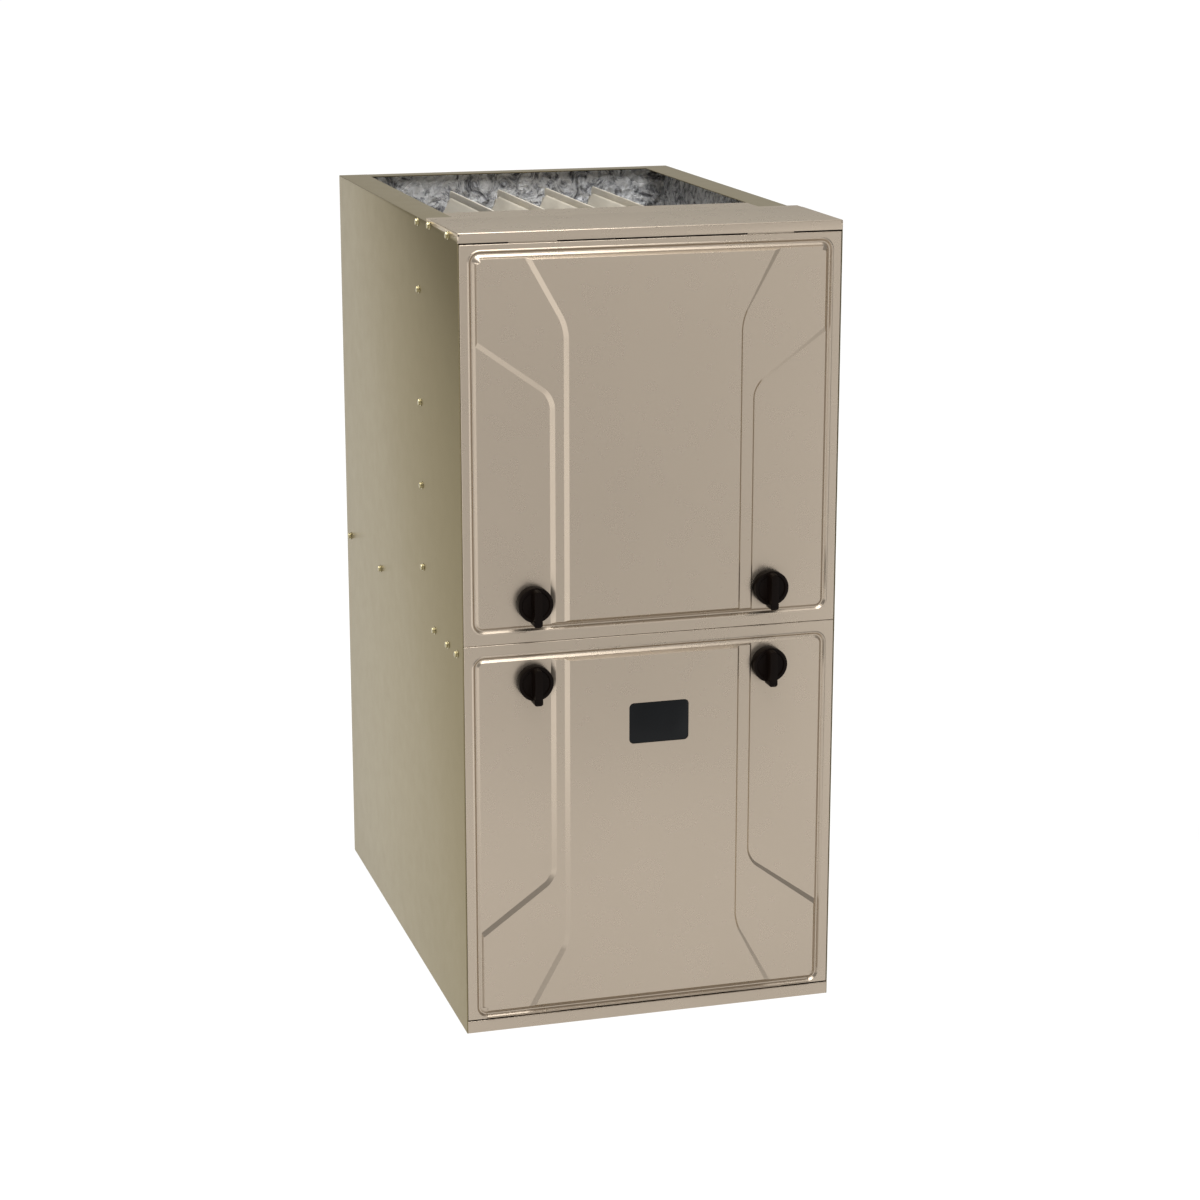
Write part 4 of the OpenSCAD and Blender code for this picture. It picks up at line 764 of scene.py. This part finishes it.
def hooks(name, z0, z1):
    """A door's two hooks, as one piece."""
    pair = [block(name, (side * hook_x - hook_half, front + 2 * sheet, z0),
                  (side * hook_x + hook_half, front + 3 * sheet, z1)) for side in (-1, 1)]
    both = join(*pair)
    return round_edges(both, 0.4 * mm, 2, 40)


def rounded_block(name, x, z, w, h, r, y0, y1):
    """A flat block with round corners in X and Z."""
    piece = block(name, (x - w / 2, y0, z - h / 2), (x + w / 2, y1, z + h / 2))
    edit(piece, "EDGE")
    pick_edges(piece, lambda a, b: abs(a.x - b.x) + abs(a.z - b.z) < 0.01 * mm)
    bpy.ops.mesh.bevel(offset=r, segments=8, affect="EDGES")
    done()
    return piece


def upper_door():
    low, high = box_z("upper_door")
    low -= door_spread
    high += door_spread - hook_h
    door = stamped_door("upper_door_skin", low, high, border_at_seam, 6.5 * mm)
    drill_studs(door, 1)
    join(door, hooks("upper_door_hooks", high - 2 * sheet, high + hook_h - door_spread))
    finish_piece(even_shading(door), "upper_door", DOOR_COAT, "casing_paint", "upper_door")


def lower_door():
    low, high = box_z("lower_door")
    low += hook_h - foot_spread
    high += seam_spread
    door = stamped_door("lower_door_skin", high, low, border_at_seam, 1 * mm)
    drill_studs(door, -1)
    cut(door, rounded_block("window_cutter", window_x, window_z, 78 * mm, 53 * mm, 6 * mm,
                            front - 0.03, front + 0.01))
    join(door, hooks("lower_door_hooks", low - hook_h + foot_spread, low + 2 * sheet))
    finish_piece(even_shading(door), "lower_door", DOOR_COAT, "casing_paint", "lower_door")


def sight_window():
    """A smoked pane that fills the opening, with its flange behind the door's skin."""
    face = front - 2 * step_high
    pane = rounded_block("window_pane", window_x, window_z, 77.4 * mm, 52.4 * mm, 5.7 * mm,
                         face + 0.4 * mm, face + sheet)
    round_edges(pane, 0.7 * mm, 3, 40)
    flange = rounded_block("window_flange", window_x, window_z, 94 * mm, 69 * mm, 14 * mm,
                           face + sheet, face + sheet + 3 * mm)
    round_edges(flange, 0.5 * mm, 2, 40)
    finish_piece(smooth(join(pane, flange)), "lower_door", PANE, "window_plastic",
                 "sight_window")


# ---- knobs ----

base_deep = 13 * mm
bar_half_w, bar_half_h, bar_out = 6 * mm, 21 * mm, 26 * mm


def knob(side, row):
    """A quarter-turn knob: bevelled base, grip bar and a small pointer at its foot."""
    rise = "upper" if row > 0 else "lower"
    hand = "left" if side < 0 else "right"
    x, z = side * knob_x, seam_z + row * knob_rise
    back_y = front - 0.5 * mm
    name = f"knob_{rise}_{hand}"
    base = rod(name + "_moulding", knob_r, (x, back_y - base_deep, z), base_deep, "y", 72)
    edit(base)
    pick_faces(base, lambda c, n: n.y < -0.9)
    step_in(4 * mm, 0)
    step_in(1.2 * mm, -1.5 * mm)
    done()
    bar = block(name + "_bar", (x - bar_half_w, front - bar_out, z - bar_half_h),
                (x + bar_half_w, back_y - 9 * mm, z + bar_half_h))
    edit(bar, "EDGE")
    pick_edges(bar, lambda a, b: abs(a.x - b.x) + abs(a.z - b.z) < 0.01 * mm)
    bpy.ops.mesh.bevel(offset=5.4 * mm, segments=6, affect="EDGES")
    bpy.ops.mesh.select_mode(type="FACE")
    pick_faces(bar, lambda c, n: n.y < -0.9)
    bpy.ops.transform.resize(value=(0.8, 1, 0.96), center_override=(x, front - bar_out, z))
    done()
    apply(base, "BOOLEAN", operation="UNION", solver="EXACT", object=bar)
    bpy.data.objects.remove(bar)
    nub = rounded_block(name + "_nub", x, z - 20.5 * mm, 11 * mm, 10 * mm, 3 * mm,
                        front - 24.5 * mm, front - 7 * mm)
    apply(base, "BOOLEAN", operation="UNION", solver="EXACT", object=nub)
    bpy.data.objects.remove(nub)
    round_edges(base, 1.0 * mm, 3, 38)
    cut(base, rod("stud_hole", 5.05 * mm, (x, back_y - 9 * mm, z), 10 * mm, "y"))
    finish_piece(smooth(base, 40), f"{rise}_{hand}_latch", KNOB_PLASTIC, "knob_plastic", name)


# ---- casing ----


def side_panel(side):
    """A casing side with rolled folds, still one sheet with its flanges and ports."""
    node = "left_side_panel" if side < 0 else "right_side_panel"
    panel = from_frame(node, node + "_sheet")

    def outer_fold(a, b):
        on_side = near(a.x, side * half_w) and near(b.x, side * half_w)
        upright = near(a.y, b.y) and (near(a.y, front) or near(a.y, back)) and abs(a.z - b.z) > 0.1
        level = near(a.z, b.z) and (near(a.z, flange_z) or near(a.z, 0)) and abs(a.y - b.y) > 0.1
        return on_side and (upright or level)

    fold_edges(panel, outer_fold, 1.1 * mm)
    round_edges(panel, 0.25 * mm, 1, 60)
    finish_piece(smooth(panel), "cabinet", SHADED_CASING_COAT, "casing_paint", node)


def back_panel():
    panel = from_frame("back_panel", "back_panel_sheet")

    def outer_fold(a, b):
        level = near(a.z, b.z) and (near(a.z, flange_z) or near(a.z, 0))
        return level and near(a.y, back) and near(b.y, back)

    fold_edges(panel, outer_fold, 1.6 * mm)
    finish_piece(smooth(panel), "cabinet", SHADED_CASING_COAT, "casing_paint", "back_panel")


# the ledge's lower strip: its distance behind the front, and how far it lies below the ledge
strip_at, strip_drop = 142 * mm, 0.6 * mm


def top_front_plate():
    """The ledge, with rolled folds, relief holes in the lip's corners and its lower strip."""
    front_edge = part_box("top_front_plate")[0][1]
    plate_piece = from_frame("top_front_plate", "ledge_sheet")

    def outer_fold(a, b):
        crown = near(a.z, top) and near(b.z, top)
        corner = near(a.y, front) and near(b.y, front) and near(abs(a.x), half_w)
        return crown or (corner and near(a.x, b.x))

    fold_edges(plate_piece, outer_fold, 1.1 * mm)
    round_edges(plate_piece, 0.25 * mm, 1, 60)
    for side in (-1, 1):
        cut(plate_piece, rod("relief_hole", 1.1 * mm, (side * (half_w - 1.3 * mm), front - 0.01,
                                                       top - 2.6 * mm), 0.0112, "y", 16))
    line_y = front_edge + strip_at
    cut(plate_piece, block("lower_strip", (-half_w - 0.01, line_y, top - strip_drop),
                           (half_w + 0.01, line_y + 40 * mm, top + 0.01)))
    finish_piece(smooth(plate_piece), "cabinet", DOOR_COAT, "casing_paint", "top_front_plate")


def base_rail():
    rail = from_frame("base_rail", "base_rail_channel")
    fold_edges(rail, lambda a, b: near(a.y, front) and near(b.y, front) and near(a.z, b.z),
               1.0 * mm)
    finish_piece(smooth(rail), "cabinet", DOOR_COAT, "casing_paint", "base_rail")


# ---- screws ----


def screw(name, x, y, z, out):
    """A hex washer head screw that looks along the vector out."""
    washer = rod(name, 5.2 * mm, (0, 0, 0), 1.0 * mm, "z", 32)
    head = rod(name + "_hex", 4.1 * mm, (0, 0, 0.6 * mm), 3.2 * mm, "z", 6)
    round_edges(head, 0.5 * mm, 2, 30)
    round_edges(washer, 0.35 * mm, 2, 40)
    whole = join(washer, head)
    turn = Vector(out).to_track_quat("Z", "Y").to_matrix().to_4x4()
    whole.data.transform(Matrix.Translation((x, y, z)) @ turn)
    return whole


side_screws = [(214, 1005), (148, 1008), (49, 1008), (214, 920), (214, 776), (214, 668),
               (214, 560), (698, 492), (487, 493), (153, 491), (78, 492), (29, 493)]


def casing_screws():
    heads = []
    for side in (-1, 1):
        for at, height in side_screws:
            heads.append(screw("screw", side * half_w, front + at * mm, height * mm,
                               (side, 0, 0)))
    for x in (-225, -110, 0, 110, 225):
        for height in (1000, 520, 40):
            heads.append(screw("screw", x * mm, back, height * mm, (0, 1, 0)))
    whole = join(*heads)
    whole.name = "casing_screws"
    finish_piece(smooth(whole), "cabinet", ZINC, "zinc_steel")


# ---- insulation ----


quilt_cuts, quilt_deep = 60, 2.6 * mm


def quilt(name, low, high, holes=()):
    """Foil faced wool: a block whose skin is creased, inside its solid's box."""
    low, high = Vector(low), Vector(high)
    piece = block(name, low, high)
    edit(piece, "EDGE")
    bpy.ops.mesh.select_all(action="SELECT")
    bpy.ops.mesh.subdivide(number_cuts=quilt_cuts)
    done()
    for hole in holes:
        cut(piece, hole)
    crease = bpy.data.textures.new(name + "_creases", "CLOUDS")
    crease.noise_scale = 0.035
    crease.noise_depth = 2
    apply(piece, "DISPLACE", texture=crease, texture_coords="LOCAL",
          strength=quilt_deep, mid_level=1.0)
    inset = 0.1 * mm
    for vert in piece.data.vertices:
        for i in range(3):
            vert.co[i] = min(max(vert.co[i], low[i] + inset), high[i] - inset)
    smooth(piece, 180)
    return piece


def foil_liners():
    low, high = (Vector(corner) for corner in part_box("foil_liner_sides"))
    thick = 10 * mm
    left = quilt("foil_liner_left_quilt", low, (low.x + thick, high.y, high.z))
    right = quilt("foil_liner_right_quilt", (high.x - thick, low.y, low.z), high)
    sides = join(left, right)
    finish_piece(sides, "cabinet", FOIL, "foil_insulation", "foil_liner_sides")
    rear = quilt("foil_liner_rear_quilt", *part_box("foil_liner_rear"))
    finish_piece(rear, "cabinet", FOIL, "foil_insulation", "foil_liner_rear")


def door_liner():
    low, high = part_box("lower_door_liner")
    holes = [rod("hole", 15 * mm, (side * knob_x, low[1] - 0.02, seam_z - knob_rise), 0.06, "y")
             for side in (-1, 1)]
    holes.append(rounded_block("hole", window_x, window_z, 90 * mm, 65 * mm, 12 * mm,
                               low[1] - 0.02, high[1] + 0.02))
    liner = quilt("lower_door_quilt", low, high, holes)
    finish_piece(liner, "lower_door", FOIL, "foil_insulation", "lower_door_liner")


# ---- shoulders of the heat cells ----

# how far the crimped seam stands above the plain cell, and above its own shoulders
seam_lift, seam_h = 14 * mm, 9 * mm
seam_half = 1.3 * mm
shoulder_h = 40 * mm
cell_tail, seam_tail = 16 * mm, 18 * mm


def cell_shoulders(number):
    """The crimped seam and its sloping shoulders, which a cell's plain passes lack."""
    low, high = (Vector(corner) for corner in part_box(f"heat_cell_{number}"))
    seam_top = high.z + seam_lift
    top_z = seam_top - seam_h
    middle = (low.x + high.x) / 2
    piece = block(f"heat_cell_{number}_shoulders",
                  (low.x + 1 * mm, low.y + 1 * mm, top_z - shoulder_h),
                  (high.x - 1 * mm, high.y - cell_tail, top_z))
    edit(piece)
    pick_faces(piece, lambda c, n: n.z > 0.9)
    bpy.ops.transform.resize(value=(0.12, 0.97, 1), center_override=(middle, low.y, top_z))
    done()
    round_edges(piece, 5 * mm, 4, 20)
    seam = block("seam", (middle - seam_half, low.y + 2 * mm, top_z - 4 * mm),
                 (middle + seam_half, high.y - seam_tail, seam_top))
    edit(seam, "EDGE")
    pick_edges(seam, lambda a, b: near(a.z, seam_top) and near(b.z, seam_top)
               and near(a.y, high.y - seam_tail) and near(b.y, high.y - seam_tail))
    bpy.ops.mesh.bevel(offset=7 * mm, segments=6, affect="EDGES")
    done()
    round_edges(seam, 0.5 * mm, 2, 40)
    finish_piece(smooth(join(piece, seam), 40), "cabinet", ALUMINIZED, "aluminized_steel")


# ---- finishes of the frame's own solids ----

node_finishes = {
    GALVANIZED: ["blower_deck", "vest_panel", "centre_rail", "inducer_housing", "inducer_wheel",
                 "burner_box", "blower_wrap", "blower_side_left", "blower_side_right",
                 "blower_wheel", "blower_motor_mount", "control_bracket", "condensing_coil"],
    ALUMINIZED: ["heat_cell_1", "heat_cell_2", "heat_cell_3", "heat_cell_4",
                 "hot_collector_box", "burners"],
    BLACK_PLASTIC: ["cold_collector_box", "vent_coupling", "air_intake_coupling",
                    "condensate_trap", "rollout_switches", "limit_switch", "door_switch"],
    RUBBER: ["gas_grommet", "pressure_tube"],
    MOTOR_ENAMEL: ["inducer_motor", "blower_motor", "pressure_switch"],
    PIPE_ENAMEL: ["gas_manifold"],
    CASTING: ["gas_valve"],
    RED_PLASTIC: ["gas_valve_switch", "rollout_reset_left", "rollout_reset_right"],
    WHITE_PLASTIC: ["door_switch_plunger"],
    CERAMIC: ["flame_probes"],
    CAN: ["blower_capacitor"],
    LAMINATE: ["control_board"],
    LAMINATIONS: ["transformer"],
    ZINC: ["latch_upper_left", "latch_upper_right", "latch_lower_left", "latch_lower_right"],
}


def finish_frame_nodes():
    for finish, nodes in node_finishes.items():
        for node in nodes:
            solid = frame["nodes"][node]
            for place in solid.material_slots:
                place.material = finish
            if not solid.material_slots:
                solid.data.materials.append(finish)


# ---- floor and light ----

# painted glow: how much the floor's far parts glow in each direction, in degrees right of straight
# ahead
floor_glow = [(-120, 0.92), (-70, 0.92), (-52, 1.5), (-22, 1.5), (-8, 0.8), (4, 0.66), (13, 0.66),
              (22, 0.72), (30, 1.3), (41, 1.3), (54, 0.8), (66, 0.45), (110, 0.45), (122, 0.92)]
near_glow = 0.93
glow_from, glow_full = 0.85, 1.25


def floor():
    """A white floor whose far parts glow unevenly with painted light, for the doors and their
    bevels to mirror.
    """
    clear_choice()
    bpy.ops.mesh.primitive_plane_add(size=90, location=(0, 0, 0))
    ground = settle(bpy.context.object, "floor")
    paint = Paint("floor_painted_glow", (0.12, 0.12, 0.12), 0.9, Specular_IOR_Level=0.1)
    from_door = paint.node("ShaderNodeVectorMath", {"operation": "SUBTRACT"},
                           {0: paint.place, 1: (0.1, front, 0)})
    parts = paint.node("ShaderNodeSeparateXYZ", None, {0: from_door})
    ahead = Wire(paint, parts.socket.node.outputs[1]) * -1.0
    turn = parts.maths("ARCTAN2", parts, ahead)
    share = paint.range(turn, -math.pi, math.pi, 0, 1)
    glow = paint.node("ShaderNodeValToRGB", {"stops": [
        (0.5 + degrees / 360, (level, level, level)) for degrees, level in floor_glow]},
        {"Fac": share})
    gap = paint.node("ShaderNodeVectorMath", {"operation": "LENGTH"}, {0: from_door}, out="Value")
    far = paint.range(gap, glow_from, glow_full, 0, 1)
    paint.set("Emission Color", paint.between((near_glow,) * 3, glow, far))
    paint.set("Emission Strength", 1.0)
    paint.set("Roughness", paint.range(paint.spot(3), 0.3, 0.7, 0.86, 0.94))
    ground.data.materials.append(paint.material)


def lamp(name, place, target, size, power):
    """A white card of light, which looks from its place at the target."""
    data = bpy.data.lights.new(name, "AREA")
    data.shape = "RECTANGLE"
    data.size, data.size_y = size
    data.energy = power
    light = bpy.data.objects.new(name, data)
    bpy.context.scene.collection.objects.link(light)
    light.location = place
    light.rotation_mode = "QUATERNION"
    light.rotation_quaternion = (Vector(target) - Vector(place)).to_track_quat("-Z", "Y")


def studio():
    """A soft sky that brightens overhead, and four cards of light."""
    world = bpy.data.worlds.new("studio")
    world.use_nodes = True
    tree = world.node_tree
    background = tree.nodes["Background"]
    background.inputs["Color"].default_value = (1, 1, 1, 1)
    place = tree.nodes.new("ShaderNodeTexCoord")
    parts = tree.nodes.new("ShaderNodeSeparateXYZ")
    rise = tree.nodes.new("ShaderNodeMapRange")
    for key, value in (("From Min", 0.6), ("From Max", 0.9), ("To Min", 0.3), ("To Max", 1.6)):
        rise.inputs[key].default_value = value
    tree.links.new(place.outputs["Generated"], parts.inputs[0])
    tree.links.new(parts.outputs["Z"], rise.inputs["Value"])
    tree.links.new(rise.outputs[0], background.inputs["Strength"])
    bpy.context.scene.world = world
    # each card: its place, what it faces, its width and height, its watts
    lamp("front_card", (1.46, -5.1, 1.3), (0, -0.3, 0.9), (3.2, 1.2), 7)
    lamp("back_card", (1.2, 4.6, 2.2), (0, 0, 1.0), (5.0, 1.8), 7)
    lamp("opening_card", (-0.25, -1.5, 2.7), (0, 0.35, 0.95), (1.6, 1.6), 42)
    lamp("top_card", (-0.2, 0.2, 3.0), (0, 0.1, 0.9), (1.1, 1.1), 36)
    bpy.context.scene.view_settings.view_transform = "Standard"


upper_door()
lower_door()
sight_window()
for side in (-1, 1):
    for row in (-1, 1):
        knob(side, row)
    side_panel(side)
back_panel()
top_front_plate()
base_rail()
casing_screws()
foil_liners()
door_liner()
for number in range(1, 5):
    cell_shoulders(number)
finish_frame_nodes()
floor()
studio()
